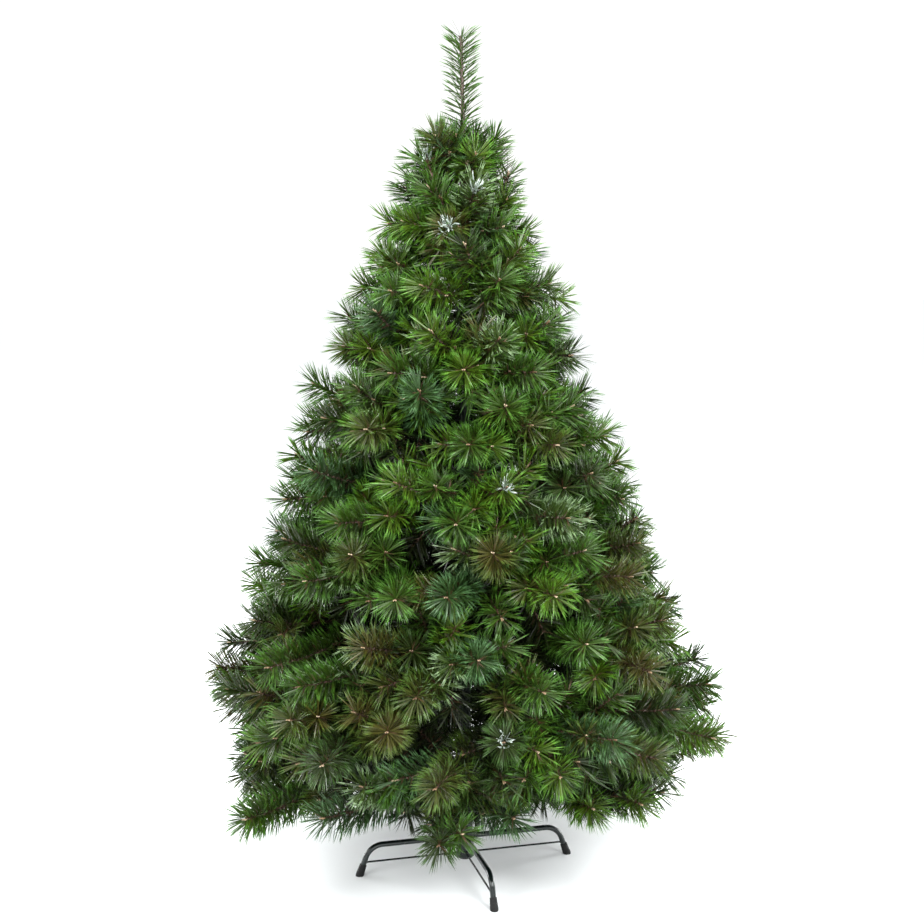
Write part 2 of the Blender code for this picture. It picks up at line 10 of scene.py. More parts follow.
import bpy
import numpy as np
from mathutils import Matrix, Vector


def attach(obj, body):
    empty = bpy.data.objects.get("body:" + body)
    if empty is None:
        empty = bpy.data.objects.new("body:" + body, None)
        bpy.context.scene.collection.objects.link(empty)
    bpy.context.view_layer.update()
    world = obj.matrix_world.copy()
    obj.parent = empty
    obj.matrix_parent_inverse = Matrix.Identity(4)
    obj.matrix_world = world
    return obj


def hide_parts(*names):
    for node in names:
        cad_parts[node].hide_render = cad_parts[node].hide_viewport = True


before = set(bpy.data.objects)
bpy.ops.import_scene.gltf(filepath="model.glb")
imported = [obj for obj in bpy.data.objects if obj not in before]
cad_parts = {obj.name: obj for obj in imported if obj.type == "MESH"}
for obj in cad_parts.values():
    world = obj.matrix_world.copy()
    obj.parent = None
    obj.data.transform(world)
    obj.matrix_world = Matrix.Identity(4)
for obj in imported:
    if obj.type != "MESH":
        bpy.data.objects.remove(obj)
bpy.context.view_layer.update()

UP = Vector((0.0, 0.0, 1.0))
GAP = 0.0003

# Camera and stage. Each light has a name, its place, the height it aims at, its side and its watts.
CAMERA_PLACE = (-0.007, -3.0, 1.308)
CAMERA_PITCH_DOWN = 0.136
CAMERA_LENS = 55.5
CAMERA_SENSOR = 36.0
CAMERA_FAR = 200.0
FLOOR_HALF = 60.0
FLOOR_TONES = ((0.895, 0.925, 0.935), (0.91, 0.94, 0.95))
SKY_STRENGTH = 1.1
LIGHTS = (
    ("key", (2.2, -2.8, 3.2), 1.0, 2.0, 320.0),
    ("fill", (-2.4, -2.6, 2.6), 1.0, 2.0, 215.0),
    ("top", (0.0, -0.4, 3.8), 1.0, 1.8, 180.0),
    ("low", (0.5, -3.4, 0.5), 0.1, 1.2, 16.0),
    ("left", (-2.8, 1.2, 0.6), 0.1, 1.0, 60.0),
    ("right", (2.8, 1.2, 0.6), 0.1, 1.0, 60.0),
)

# Paints, wire and rubber: the base colour, and the colour where it is worn or lighter
STAND_PAINT = ((0.004, 0.009, 0.008), (0.012, 0.022, 0.019))
POLE_PAINT = ((0.01, 0.018, 0.011), (0.026, 0.036, 0.024))
BOUGH_PAINT = ((0.034, 0.019, 0.01), (0.078, 0.044, 0.027))
TWIG_PAINT = ((0.062, 0.03, 0.018), (0.15, 0.08, 0.052))
CUT_WIRE_TONES = (
    ((0.33, 0.25, 0.16), (0.46, 0.37, 0.27)),
    ((0.24, 0.16, 0.09), (0.35, 0.25, 0.16)),
    ((0.14, 0.08, 0.04), (0.24, 0.15, 0.085)),
)
RUBBER = (0.004, 0.004, 0.004)
BROWN_FILM = (0.05, 0.025, 0.01)

# Stand
LEG_COUNT = 4
FIRST_LEG_DEG = 14.5
LEG_HEIGHT = 0.066
LEG_TUBE_RADIUS = 0.006
LEG_STOPS = (0.08, 0.13)
LEG_STRAIGHT_END = 0.185
LEG_BEND_RADIUS = 0.04
LEG_BEND_DEG = 70.0
LEG_END_HEIGHT = 0.005
LEG_BEND_STEPS = 16
LEG_SIDES = 24
BRACE_RADIUS = 0.0021
BRACE_HEIGHT = 0.029
BRACE_STEPS = 6
BRACE_SIDES = 14
BRACE_WELD_AT = 1.02 * LEG_TUBE_RADIUS
BRACE_WELD_RADIUS = 1.05 * BRACE_RADIUS
CAP_RADIUS = 0.0088
CAP_BORE = LEG_TUBE_RADIUS + 0.0007
CAP_LENGTH = 0.021
CAP_SIDES = 40
# Outside of a cap, from the middle of its sole to its rim: share of its radius, and height
CAP_OUTSIDE = (
    (0.0, -0.0105),
    (0.9, -0.0105),
    (1.0, -0.004),
    (1.0, 0.002),
    (0.95, 0.0042),
    (0.93, 0.007),
    (0.95, 0.0078),
    (0.94, 0.0092),
    (0.91, 0.01),
    (0.89, 0.0125),
    (0.91, 0.0133),
    (0.9, 0.0147),
    (0.87, 0.0155),
    (0.86, CAP_LENGTH - 0.0012),
    (0.84, CAP_LENGTH - 0.0004),
    (0.81, CAP_LENGTH),
)
# Inside of a cap, from its rim down: what is added to its bore, and the depth
CAP_INSIDE = ((0.0003, 0.0002), (-0.0004, 0.0016), (-0.0004, 0.006))
HUB_RADIUS = 0.0165
HUB_BORE = 0.0128
HUB_FLOOR = 0.018
HUB_FLOOR_THICKNESS = 0.003
HUB_TOP = 0.15
HUB_SIDES = 48
HUB_BORE_FLARE = 0.0004
CHAMFER = 0.0008
EDGE = 0.0006
# Rolled lip at the hub's top: what is added to its radius, and the depth under the top
HUB_LIP = ((0.0, 0.0045), (0.0012, 0.0035), (0.0014, 0.0012), (0.0004, 0.0))
SLEEVE_RADIUS = 0.02
SLEEVE_SIDES = 12
SLEEVES = ((0.029, 0.007), (0.066, 0.013))
WELD_STEPS = 18
LEG_WELD_BEAD = 0.0013
BRACE_WELD_BEAD = 0.0009
BRACE_END_BEAD = 0.001
SCREW_HEIGHT = 0.122
SCREW_DEG = -118.0
SCREW_RADIUS = 0.003
SCREW_LENGTH = 0.02
SCREW_RINGS = 26
SCREW_RING_STEP = 0.0008
THREAD_FOOT = 0.86
# The nut and the wings' boss: distance along the screw, and radius
SCREW_NUT_SINK = 0.001
SCREW_NUT = ((0.0, 0.0062), (0.0045, 0.0062), (0.005, 0.0054))
SCREW_BOSS = ((0.0, 0.0048), (0.006, 0.0042), (0.007, 0.003))
SCREW_FLANGE_RADIUS = 0.005
SCREW_FLANGE_LENGTH = 0.003
SCREW_FLANGE_ASKEW = 0.0001
SCREW_WING_STEPS = 8
SCREW_WING_WIDTH = 0.02
SCREW_WING_HEIGHT = 0.011
SCREW_WING_THICKNESS = 0.003

# Pole
POLE_SIDES = 8
POLE_ROUND_SIDES = 36
POLE_TOP = 1.445
POLE_SECTIONS = ((0.61, 0.012), (1.065, 0.0108), (POLE_TOP, 0.0092))
POLE_SLEEVE_LENGTH = 0.045
POLE_SLEEVE_WALL = 0.0016
# Outside of a sleeve from either end inwards: what is taken off its radius, and the distance
POLE_SLEEVE_EDGE = ((0.0005, 0.0), (0.0, EDGE), (0.0, 0.003), (0.0006, 0.0042))
POLE_SLEEVE_SINKS = (0.0004, 0.0022)
POLE_RING_STEP = 0.012
POLE_DENT = 0.00012
POLE_SEAM_RADIUS = 0.0006
POLE_SEAM_END = 0.004
COLLAR_RADIUS = 0.018
COLLAR_HEIGHT = 0.014
COLLAR_WALL = 0.0036
COLLAR_SINK = 0.0004
# Ears that hold a bough's foot, and the pin across them. Heights are those of root and end.
EAR_ROOT = 0.002
EAR_APART = 0.0062
EAR_HALF_THICKNESS = 0.0007
EAR_REACH = 0.0062
EAR_HEIGHTS = (0.0062, 0.004)
EAR_PIN_REACH = 0.003
EAR_PIN_HALF = 0.0082
EAR_PIN_RADIUS = 0.0014
EAR_FACES = ((0, 2, 4, 6), (1, 7, 5, 3), (0, 1, 3, 2), (2, 3, 5, 4), (4, 5, 7, 6), (6, 7, 1, 0))
RIVET_SINK = 0.001
RIVET = ((0.0, 0.0024), (0.0016, 0.0024), (0.0021, 0.0014))

# Crown: the same rule and the same seeds as the solids
TIER_BOUGHS = (5, 5, 5, 5, 4, 4, 4, 3, 3)
TIER_TWIGS = (6, 6, 5, 5, 5, 5, 5, 5, 5)
TIER_FIRST_DEG = (-95.6, -64.8, -100.0, -66.0, -92.0, -50.0, -86.0, -60.0, -95.0)
TIERS = len(TIER_BOUGHS)
TIP_HEIGHTS = (0.262, 0.412, 0.566, 0.718, 0.868, 1.014, 1.156, 1.294, 1.428)
CROWN_LIMITS = (0.535, 0.575)
CROWN_TOP = 1.57
CROWN_TOP_RADIUS = 0.108
CROWN_TAPER = 0.405
CROWN_LEAN = -0.02
CROWN_LEAN_FROM = 0.65
CROWN_LEAN_TO = 0.9
FRONT_LIFT = 0.05
DRAWN_IN = 0.14
DRAWN_IN_DEG = -48.0
LOWEST_NEEDLE = 0.15
BARE_TIERS = 2
FLAT_START = 0.01
BOUGH_LIFT_SPREAD = 0.022
TWIG_START = 0.72
TWIG_START_AT_SIDE = 0.42
STEM_PAST_LAST_TWIG = 0.012
TWIG_RISE = 0.036
TWIG_RISE_SPREAD = 0.008
TWIG_TURN_SPREAD_DEG = 1.5
REACH_SPREAD = (0.94, 1.02)
TWIG_LIFT = 0.075
TWIG_BOW = -0.05
NEEDLE_REACH = 0.04
TWIGS_APART = {
    (0, 0, 2): (4.9, 0.033, -0.021),
    (0, 1, 1): (0.0, 0.05, -0.06),
    (0, 1, 5): (-5.0, 0.068, 0.0),
    (0, 4, 2): (0.0, -0.02, 0.0),
    (0, 4, 5): (-3.0, 0.063, -0.077),
    (1, 2, 4): (0.0, 0.02, 0.0),
    (1, 3, 4): (0.0, 0.02, 0.0),
    (1, 3, 5): (0.0, 0.035, 0.0),
    (1, 4, 0): (0.0, -0.03, 0.0),
    (2, 1, 3): (0.0, -0.02, 0.0),
    (2, 1, 4): (0.0, -0.03, 0.0),
    (2, 4, 1): (0.0, 0.015, 0.02),
    (3, 1, 1): (0.0, -0.03, 0.0),
    (5, 2, 4): (0.0, 0.03, 0.0),
    (5, 3, 0): (0.0, 0.03, 0.0),
}
LEADER_NEEDLES_FROM = 1.58
LEADER_SHIFT = -0.009
LEADER_TWIGS = 6
LEADER_TWIGS_FROM = 1.475
LEADER_TWIG_TIPS = 1.55
LEADER_TWIG_REACH = 0.08
LEADER_WIRE_END = 1.776
LEADER_TWIG_SPREAD_DEG = 8.0
LEADER_INNER_FROM = LEADER_TWIGS_FROM + 0.03
LEADER_INNER_TIPS = 1.572
LEADER_INNER_REACH = 0.046
LEADER_STEPS = (20, 26)
LEADER_RADII = (0.0044, 0.0034)
LEADER_RIDGE = (0.16, 1.3)
STEM_RADII = (0.0042, 0.0028)
STEM_RIDGE = (0.13, 1.15)
TWIG_TWIST = 1.2

# Finer twigs of the dressed tree. Those beside a twig lie near its plane, those over and under it
# close the room between the tiers, and those on the stems hide the pole.
SIDE_SHARES = (0.34, 0.56)
SIDE_TURN_DEG = (26.0, 40.0)
SIDE_RISE_DEG = 16.0
SIDE_FURTHER = 0.03
RISER_SHARES = (0.14, 0.3)
RISER_TURN_DEG = (42.0, 62.0)
RISER_ASIDE = 0.5
RISER_SHORTER = 0.75
FINER_LENGTH = (0.62, 0.8)
FINER_LIMITS = (0.07, 0.165)
FINER_SINK = (0.018, 0.065)
FINER_SAG = 0.05
FITTING_TRIES = 8
FITTING_CUT = 0.86
INNER_FROM = 0.045
INNER_FROM_BARE = 0.085
INNER_STEP = 0.032
INNER_STEP_UPPER = 0.025
INNER_UPPER_TIERS = 5
INNER_TURN_DEG = (48.0, 66.0)
INNER_ASIDE = (0.6, 1.5)
INNER_LENGTH = (0.072, 0.1)
INNER_LENGTH_BARE = (0.105, 0.15)
LOWEST_TWIG = 0.215
WIRE_STEP = 0.0078
STEM_STEP = 0.006

# Tips of more twigs, where the outline in the photo has one. Each grows from the nearest main twig.
OUTLINE_TIPS = (
    (0.088, -0.02, 1.497),
    (-0.112, -0.01, 1.49),
    (-0.08, -0.06, 1.53),
    (0.06, 0.04, 1.545),
    (-0.178, 0.0, 1.31),
    (0.2, -0.01, 1.242),
    (0.248, 0.0, 1.05),
    (0.292, 0.0, 0.965),
    (-0.335, 0.0, 0.962),
    (-0.362, 0.0, 0.86),
    (0.362, 0.0, 0.775),
    (0.432, 0.0, 0.556),
    (-0.512, 0.0, 0.418),
    (-0.468, -0.05, 0.262),
    (-0.42, -0.35, 0.25),
    (0.52, -0.05, 0.3),
)
# Tips of twigs that close the places where the floor or the sky would show through
FILLING_TIPS = (
    (-0.165, -0.12, 0.27),
    (-0.15, -0.24, 0.315),
    (-0.09, -0.26, 0.38),
    (-0.105, -0.12, 0.305),
    (0.055, -0.15, 0.285),
    (-0.05, 0.06, 1.215),
    (-0.01, 0.09, 1.03),
    (0.03, -0.2, 0.45),
    (0.02, 0.05, 0.39),
)
# Rings of such tips round the pole's foot, low and high by turns: count, radius and the heights
FILLING_RINGS = ((12, 0.2, (0.245, 0.3)), (11, 0.115, (0.225, 0.28)))
OUTLINE_TWIG_SHARES = (0.15, 0.3, 0.45, 0.6, 0.75)
OUTLINE_TWIG_LENGTH = 0.085

# Needles
NEEDLE_LENGTH = 0.059
NEEDLE_WIDTH = 0.0022
NEEDLE_SHOULDER = 0.68
NEEDLE_FOOT = 0.8
NEEDLES_PER_BUNCH = 3
NEEDLES_FROM = 0.01
STEM_PER_METRE = 1500.0
STEM_NEEDLE_LENGTH = 0.92 * NEEDLE_LENGTH
STEM_NEEDLES_FROM = 0.03
STEM_NEEDLES_FROM_BARE = 0.115
BRISTLES_PER_METRE = 680.0
BRISTLE_LENGTH = 0.025
BRISTLE_WIDTH = 0.0016
STEM_BRISTLES_PER_METRE = 1.5 * BRISTLES_PER_METRE
STEM_BRISTLES_FROM = 0.02
LEADER_BRISTLES = (700.0, 0.011)
# Degrees from the wire: at its start, near its end and at its end
TWIG_LEANS = (62, 56, 38)
STEM_LEANS = (66, 60, 55)
LEADER_LEANS = (62, 58, 56)
TWIG_BRISTLE_LEANS = (68, 60, 50)
STEM_BRISTLE_LEANS = (75, 70, 60)
LEADER_BRISTLE_LEANS = (60, 55, 50)
LEAN_END_LENGTH = 0.03
LEAN_END_POWER = 0.7
# How bunches differ, and how a needle differs from its bunch. Lengths and widths are shares.
DENSER_TO_END = 0.78
GOLDEN_ANGLE = 2.39996
PLACE_SPREAD = 0.0008
TURN_SPREAD = 0.35
BUNCH_SPREAD = 0.1
BUNCH_LEAN_SPREAD = 4.0
LEAN_SPREAD = 3.2
ROLL_SPREAD = 0.6
LENGTHS = (0.9, 1.04)
LENGTH_SPREAD = 0.025
BOWS = (-0.02, 0.09)
BOW_SPREAD = 0.01
BOW_DOWN = 0.02
WIDTHS = (0.85, 1.15)
ROOT_OUT = 0.0012
NEAREST_TO_AXIS = 0.5 * COLLAR_RADIUS
# Of each kind of twig: wire radius at its root and end, needles per metre, and their share of the
# full length
TWIG_KINDS = {
    "main": (0.005, 0.0032, 2250.0, 1.0),
    "outline": (0.0052, 0.0036, 1350.0, 0.98),
    "side": (0.0042, 0.0028, 1850.0, 0.96),
    "riser": (0.003, 0.002, 1450.0, 0.94),
    "inner": (0.0022, 0.0016, 1250.0, 0.9),
    "filling": (0.0024, 0.0018, 1700.0, 0.94),
}

# Needle colours, one family to a spray: the base colours of the needle's foot and of its end
# Each end is lighter than its foot, palest in the pale-tipped family: partly the film's own two
# tones, partly painted highlight where the ends catch the light and painted shade at the feet by
# the wire
FAMILIES = {
    "mid_green": ((0.02, 0.046, 0.003), (0.034, 0.093, 0.01)),
    "leaf_green": ((0.031, 0.062, 0.002), (0.048, 0.126, 0.009)),
    "blue_green": ((0.016, 0.04, 0.008), (0.036, 0.084, 0.028)),
    "deep_green": ((0.013, 0.024, 0.003), (0.021, 0.05, 0.008)),
    "olive_green": ((0.033, 0.032, 0.004), (0.045, 0.068, 0.011)),
    "moss_green": ((0.026, 0.035, 0.004), (0.039, 0.076, 0.01)),
    "pale_tipped_sheen": ((0.024, 0.045, 0.006), (0.1, 0.155, 0.07)),
    "painted_shade_green": ((0.007, 0.011, 0.002), (0.009, 0.017, 0.003)),
    "painted_glint_white": ((0.24, 0.29, 0.25), (0.43, 0.48, 0.45)),
}
# How the first seven families share out at the top of the crown, and at the bottom on the left
UPPER_SHARES = np.array((0.37, 0.32, 0.06, 0.1, 0.01, 0.05, 0.09))
LOWER_SHARES = np.array((0.13, 0.05, 0.04, 0.26, 0.19, 0.27, 0.06))
# Lower down and more on the left the sprays turn more brown and darker: partly the needles' own
# olive tint, partly painted shade
BROWN_AND_SHADE_FROM = 0.95
BROWN_AND_SHADE_FULL = 0.35
BROWN_AND_SHADE_LEFT_OF = 0.15
BROWN_AND_SHADE_LEFT_FULL = -0.35
BROWN_AND_SHADE_AT_RIGHT = 0.78
LEADER_FAMILY = 0
# Near-black painted shade: the family for the stems' needles, the inner twigs and sprays deep in
# the crown, where little light reaches
PAINTED_SHADE_FAMILY = 7
INNER_FAMILIES = {"inner": PAINTED_SHADE_FAMILY, "filling": 3}
PAINTED_SHADE_DEPTH = 0.11
# White tufts of painted highlight on a few front twig ends, turned upwards: white needles where the
# light glints off the film
PAINTED_GLINT_FAMILY = 8
PAINTED_GLINT_SPOTS = (
    (-0.056, -0.1, 1.526),
    (0.021, -0.12, 1.46),
    (-0.072, -0.14, 1.396),
    (-0.038, -0.14, 1.392),
    (0.04, -0.32, 0.93),
    (0.112, -0.5, 0.497),
)
PAINTED_GLINT_NEEDLES = 30
PAINTED_GLINT_LENGTH = 0.02
PAINTED_GLINT_LENGTHS = (0.8, 1.1)
PAINTED_GLINT_WIDTH = 0.003
PAINTED_GLINT_SPREAD = 0.8
PAINTED_GLINT_CLUMP = 0.006
PAINTED_GLINT_AT = 0.97
PAINTED_GLINT_RISE = 0.7

# The trimmed end of a twig: two stubs
STUB_SINK = 0.003
STUB_REACHES = (0.0045, 0.0085)
STUB_APART = (0.0006, 0.0021)
STUB_RADII = (0.0016, 0.0012)

# The pieces that the needles are parted into, and the tiers of each
NEEDLE_PIECES = {
    "low": (0,),
    "skirt": (1,),
    "lower": (2,),
    "middle": (3,),
    "upper": (4, 5),
    "top": (6, 7, 8),
}

dice = np.random.default_rng(23)


# Meshes from arrays


class Batch:
    """Points and polygons gathered from many small shapes, which become one object."""

    def __init__(self):
        self.points = []
        self.corners = []
        self.sizes = []
        self.slots = []
        self.count = 0

    def add(self, points, polygons, slots=0):
        """points is n by 3. polygons is m by k, and slots is one number or m of them."""
        points = np.asarray(points, np.float32).reshape(-1, 3)
        first = self.count
        self.points.append(points)
        self.count += len(points)
        self.add_faces(first, polygons, slots)
        return first

    def add_faces(self, first, polygons, slots=0):
        """More polygons over points that start at a number which add returned."""
        polygons = np.asarray(polygons, np.int32)
        self.corners.append((polygons + first).ravel())
        self.sizes.append(np.full(len(polygons), polygons.shape[1], np.int32))
        self.slots.append(np.broadcast_to(np.asarray(slots, np.int32), (len(polygons),)))

    def made(self, name, materials, smooth=False, sharp_from=None):
        """The object. Edges sharper than sharp_from degrees stay sharp where it is smooth."""
        mesh = bpy.data.meshes.new(name)
        points = np.concatenate(self.points)
        corners = np.concatenate(self.corners)
        sizes = np.concatenate(self.sizes)
        mesh.vertices.add(len(points))
        mesh.vertices.foreach_set("co", points.ravel())
        mesh.loops.add(len(corners))
        mesh.loops.foreach_set("vertex_index", corners)
        mesh.polygons.add(len(sizes))
        starts = np.concatenate([[0], np.cumsum(sizes)[:-1]]).astype(np.int32)
        mesh.polygons.foreach_set("loop_start", starts)
        for each in materials:
            mesh.materials.append(each)
        mesh.polygons.foreach_set("material_index", np.concatenate(self.slots).astype(np.int32))
        mesh.polygons.foreach_set("use_smooth", np.full(len(sizes), smooth))
        mesh.update(calc_edges=True)
        mesh.validate()
        if sharp_from is not None:
            mesh.set_sharp_from_angle(angle=math.radians(sharp_from))
        made = bpy.data.objects.new(name, mesh)
        bpy.context.scene.collection.objects.link(made)
        return made


def compass(degrees):
    """Level direction at an angle from +X towards +Y."""
    return Vector((math.cos(math.radians(degrees)), math.sin(math.radians(degrees)), 0.0))


def unit(vectors):
    return vectors / np.linalg.norm(vectors, axis=1)[:, None]


def clamped(value, low=0.0, high=1.0):
    return min(max(value, low), high)


def frames(path):
    """Tangent, side and rise at each point of a path, carried along it without twist."""
    path = np.asarray(path, float)
    tangents = unit(np.gradient(path, axis=0))
    sides = np.empty_like(tangents)
    upright = abs(tangents[0][2]) > 0.95
    side = np.cross(tangents[0], (1.0, 0.0, 0.0) if upright else (0.0, 0.0, 1.0))
    for k, tangent in enumerate(tangents):
        side = side - tangent * side.dot(tangent)
        side = side / np.linalg.norm(side)
        sides[k] = side
    return tangents, sides, np.cross(sides, tangents)


def ring_faces(rings, sides):
    """The four-sided faces between rings that follow each other."""
    k = np.arange(sides)
    following = (k + 1) % sides
    start = np.arange(rings - 1)[:, None] * sides
    quads = [start + k, start + following, start + sides + following, start + sides + k]
    return np.stack(quads, axis=-1).reshape(-1, 4)


def tube(batch, path, radii, sides, twist=0.0, ridge=(0.0, 0.0), slot=0, closed=True):
    """A tube along a path. It twists ring by ring, and a ridge (height, turn) winds round it."""
    path = np.asarray([tuple(point) for point in path], float)
    radii = np.broadcast_to(np.asarray(radii, float), (len(path),))
    _, side, rise = frames(path)
    rings = np.arange(len(path))[:, None]
    corner = 2 * np.pi * np.arange(sides)[None, :] / sides
    angle = corner + twist * rings
    radius = radii[:, None] * (1.0 + ridge[0] * np.sin(corner + ridge[1] * rings))
    outward = np.cos(angle)[..., None] * side[:, None] + np.sin(angle)[..., None] * rise[:, None]
    points = path[:, None] + radius[..., None] * outward
    batch.add(points, ring_faces(len(path), sides), slot)
    if closed:
        k = np.arange(sides)
        fan = np.stack([(k + 1) % sides, k, np.full(sides, sides)], axis=-1)
        for ring, order in ((0, 1), (len(path) - 1, -1)):
            centre = points[ring].mean(axis=0)
            batch.add(np.vstack([points[ring], centre]), fan[:, ::order], slot)


def bar(batch, start, course, steps, sides):
    """A straight bar along a course from (distance, radius) steps."""
    tube(batch, [start + course * far for far, _ in steps], [radius for _, radius in steps], sides)


def turned(batch, profile, sides, place=None):
    """A surface of revolution about Z from (radius, height) points, put in place by a function."""
    profile = np.asarray(profile, float)
    angle = 2 * np.pi * np.arange(sides) / sides
    points = np.empty((len(profile), sides, 3))
    points[..., 0] = profile[:, 0, None] * np.cos(angle)
    points[..., 1] = profile[:, 0, None] * np.sin(angle)
    points[..., 2] = profile[:, 1, None]
    if place is not None:
        points = place(points)
    batch.add(points, ring_faces(len(profile), sides))


# Materials


def set_inputs(node, **values):
    """A node's inputs by name, with _ for each space."""
    for name, value in values.items():
        node.inputs[name.replace("_", " ")].default_value = value


def noise_node(tree, scale, detail):
    coordinates = tree.nodes.new("ShaderNodeTexCoord")
    noise = tree.nodes.new("ShaderNodeTexNoise")
    set_inputs(noise, Scale=scale, Detail=detail, Roughness=0.55)
    tree.links.new(coordinates.outputs["Object"], noise.inputs["Vector"])
    return noise.outputs["Fac"]


def scaled(colour, by):
    return tuple(min(1.0, channel * by) for channel in colour)


def toned(name, tones, scale, detail):
    """A material whose base colour runs through tones, (place, colour) each, over noise."""
    made = bpy.data.materials.new(name)
    made.use_nodes = True
    tree = made.node_tree
    noise = noise_node(tree, scale, detail)
    ramp = tree.nodes.new("ShaderNodeValToRGB")
    elements = ramp.color_ramp.elements
    for k, (position, colour) in enumerate(tones):
        element = elements[k] if k < 2 else elements.new(position)
        element.position = position
        element.color = (*colour, 1.0)
    shader = tree.nodes["Principled BSDF"]
    tree.links.new(noise, ramp.inputs["Fac"])
    tree.links.new(ramp.outputs["Color"], shader.inputs["Base Color"])
    return made, shader, noise


def add_gloss(made, shader, noise, low, high):
    """Roughness from low to high over the noise that the tones follow."""
    tree = made.node_tree
    spread = tree.nodes.new("ShaderNodeMapRange")
    set_inputs(spread, From_Min=0.3, From_Max=0.7, To_Min=low, To_Max=high)
    tree.links.new(noise, spread.inputs["Value"])
    tree.links.new(spread.outputs["Result"], shader.inputs["Roughness"])


def add_bump(made, shader, scale, strength, distance):
    """Relief from a noise of its own."""
    tree = made.node_tree
    bump = tree.nodes.new("ShaderNodeBump")
    set_inputs(bump, Strength=strength, Distance=distance)
    tree.links.new(noise_node(tree, scale, detail=2.0), bump.inputs["Height"])
    tree.links.new(bump.outputs["Normal"], shader.inputs["Normal"])


def film_material(name, colour, roughness=0.40):
    """Cut plastic film: close tones in patches of some centimetres, and a soft uneven gloss."""
    tones = [(0.3, scaled(colour, 0.78)), (0.7, scaled(colour, 1.22))]
    made, shader, patches = toned(name, tones, scale=38.0, detail=2.0)
    add_gloss(made, shader, patches, roughness - 0.07, roughness + 0.07)
    set_inputs(shader, Specular_IOR_Level=0.28)
    return made


def wire_material(name, colour, worn):
    """Brown painted wire: darker and lighter stretches, with fine grit in the paint."""
    tones = [(0.25, scaled(colour, 0.55)), (0.55, colour), (0.8, worn)]
    made, shader, _ = toned(name, tones, scale=60.0, detail=4.0)
    add_bump(made, shader, scale=1400.0, strength=0.35, distance=0.0004)
    set_inputs(shader, Roughness=0.55)
    return made


def paint_material(name, colour, worn, roughness, metallic, peel):
    """Painted steel: orange peel in the paint, faint clouds of dust, and small rubbed spots."""
    tones = [(0.3, scaled(colour, 0.75)), (0.6, colour), (0.86, worn)]
    made, shader, clouds = toned(name, tones, scale=22.0, detail=5.0)
    add_gloss(made, shader, clouds, roughness - 0.05, roughness + 0.08)
    add_bump(made, shader, scale=520.0, strength=peel, distance=0.0005)
    set_inputs(shader, Metallic=metallic, Coat_Weight=0.35, Coat_Roughness=0.18)
    return made


def rubber_material(name, colour):
    """Moulded rubber: a fine grain, and pale dust in clouds."""
    tones = [(0.35, colour), (0.75, scaled(colour, 2.6))]
    made, shader, _ = toned(name, tones, scale=140.0, detail=5.0)
    add_bump(made, shader, scale=2400.0, strength=0.4, distance=0.0003)
    set_inputs(shader, Roughness=0.62, Specular_IOR_Level=0.22)
    return made


def floor_material(name, colour, other):
    """A pale studio floor with the faintest clouds."""
    made, shader, _ = toned(name, [(0.3, colour), (0.7, other)], scale=1.5, detail=3.0)
    set_inputs(shader, Roughness=0.6)
    return made


# Crown


def reach_of_polygon(radius, sides, azimuth):
    side = 360.0 / sides
    from_corner = (azimuth + side / 2) % side - side / 2
    return radius * math.cos(math.radians(from_corner))


def tip_radius(tier, height):
    taper = CROWN_TOP_RADIUS + CROWN_TAPER * (CROWN_TOP - height)
    limit = CROWN_LIMITS[min(tier, len(CROWN_LIMITS) - 1)]
    return min(taper, limit) - NEEDLE_REACH


def climb(tier):
    return math.tan(math.radians(-2.0 + 0.55 * tier * tier))


def root_height(tier):
    reach = tip_radius(tier, TIP_HEIGHTS[tier])
    return TIP_HEIGHTS[tier] - climb(tier) * (reach - COLLAR_RADIUS - FLAT_START)


def collar_face(azimuth):
    return reach_of_polygon(COLLAR_RADIUS, POLE_SIDES, azimuth)


def bough_azimuth(tier, index):
    return TIER_FIRST_DEG[tier] + 360.0 * index / TIER_BOUGHS[tier]


def bough_lift(tier, index):
    if tier == 0:
        return 0.0
    return random.Random(40 + 10 * tier + index).uniform(-BOUGH_LIFT_SPREAD, BOUGH_LIFT_SPREAD)


def stem_point(tier, index, radius):
    reach = tip_radius(tier, TIP_HEIGHTS[tier]) - COLLAR_RADIUS - FLAT_START
    slope = climb(tier) + bough_lift(tier, index) / reach
    height = root_height(tier) + slope * max(radius - COLLAR_RADIUS - FLAT_START, 0.0)
    return compass(bough_azimuth(tier, index)) * radius + UP * height


def twig_curve(root, tip):
    """The three points of a twig's curve, which lifts towards its end."""
    span = tip - root
    outward = Vector((root.x, root.y, 0.0))
    outward = outward.normalized() if outward.length > 0.005 else UP
    bend = root + span * 0.5 - UP * span.length * TWIG_LIFT + outward * span.length * TWIG_BOW
    return root, bend, tip


def along(curve, share):
    root, bend, tip = curve
    return root.lerp(bend, share).lerp(bend.lerp(tip, share), share)


def sampled(curve, step):
    count = max(4, math.ceil((curve[2] - curve[0]).length / step))
    return [along(curve, k / count) for k in range(count + 1)]


def twig_tip(tier, azimuth, rise, chance):
    height = TIP_HEIGHTS[tier] + rise + chance.uniform(-TWIG_RISE_SPREAD, TWIG_RISE_SPREAD)
    reach = tip_radius(tier, height) * chance.uniform(*REACH_SPREAD)
    if tier == 0:
        height += FRONT_LIFT * max(0.0, -compass(azimuth).y) ** 2
        reach *= 1.0 - DRAWN_IN * max(0.0, compass(azimuth).dot(compass(DRAWN_IN_DEG))) ** 2
    return azimuth, reach, height


def crown_shift(height):
    share = (height - CROWN_LEAN_FROM) / (CROWN_LEAN_TO - CROWN_LEAN_FROM)
    return CROWN_LEAN * clamped(share)


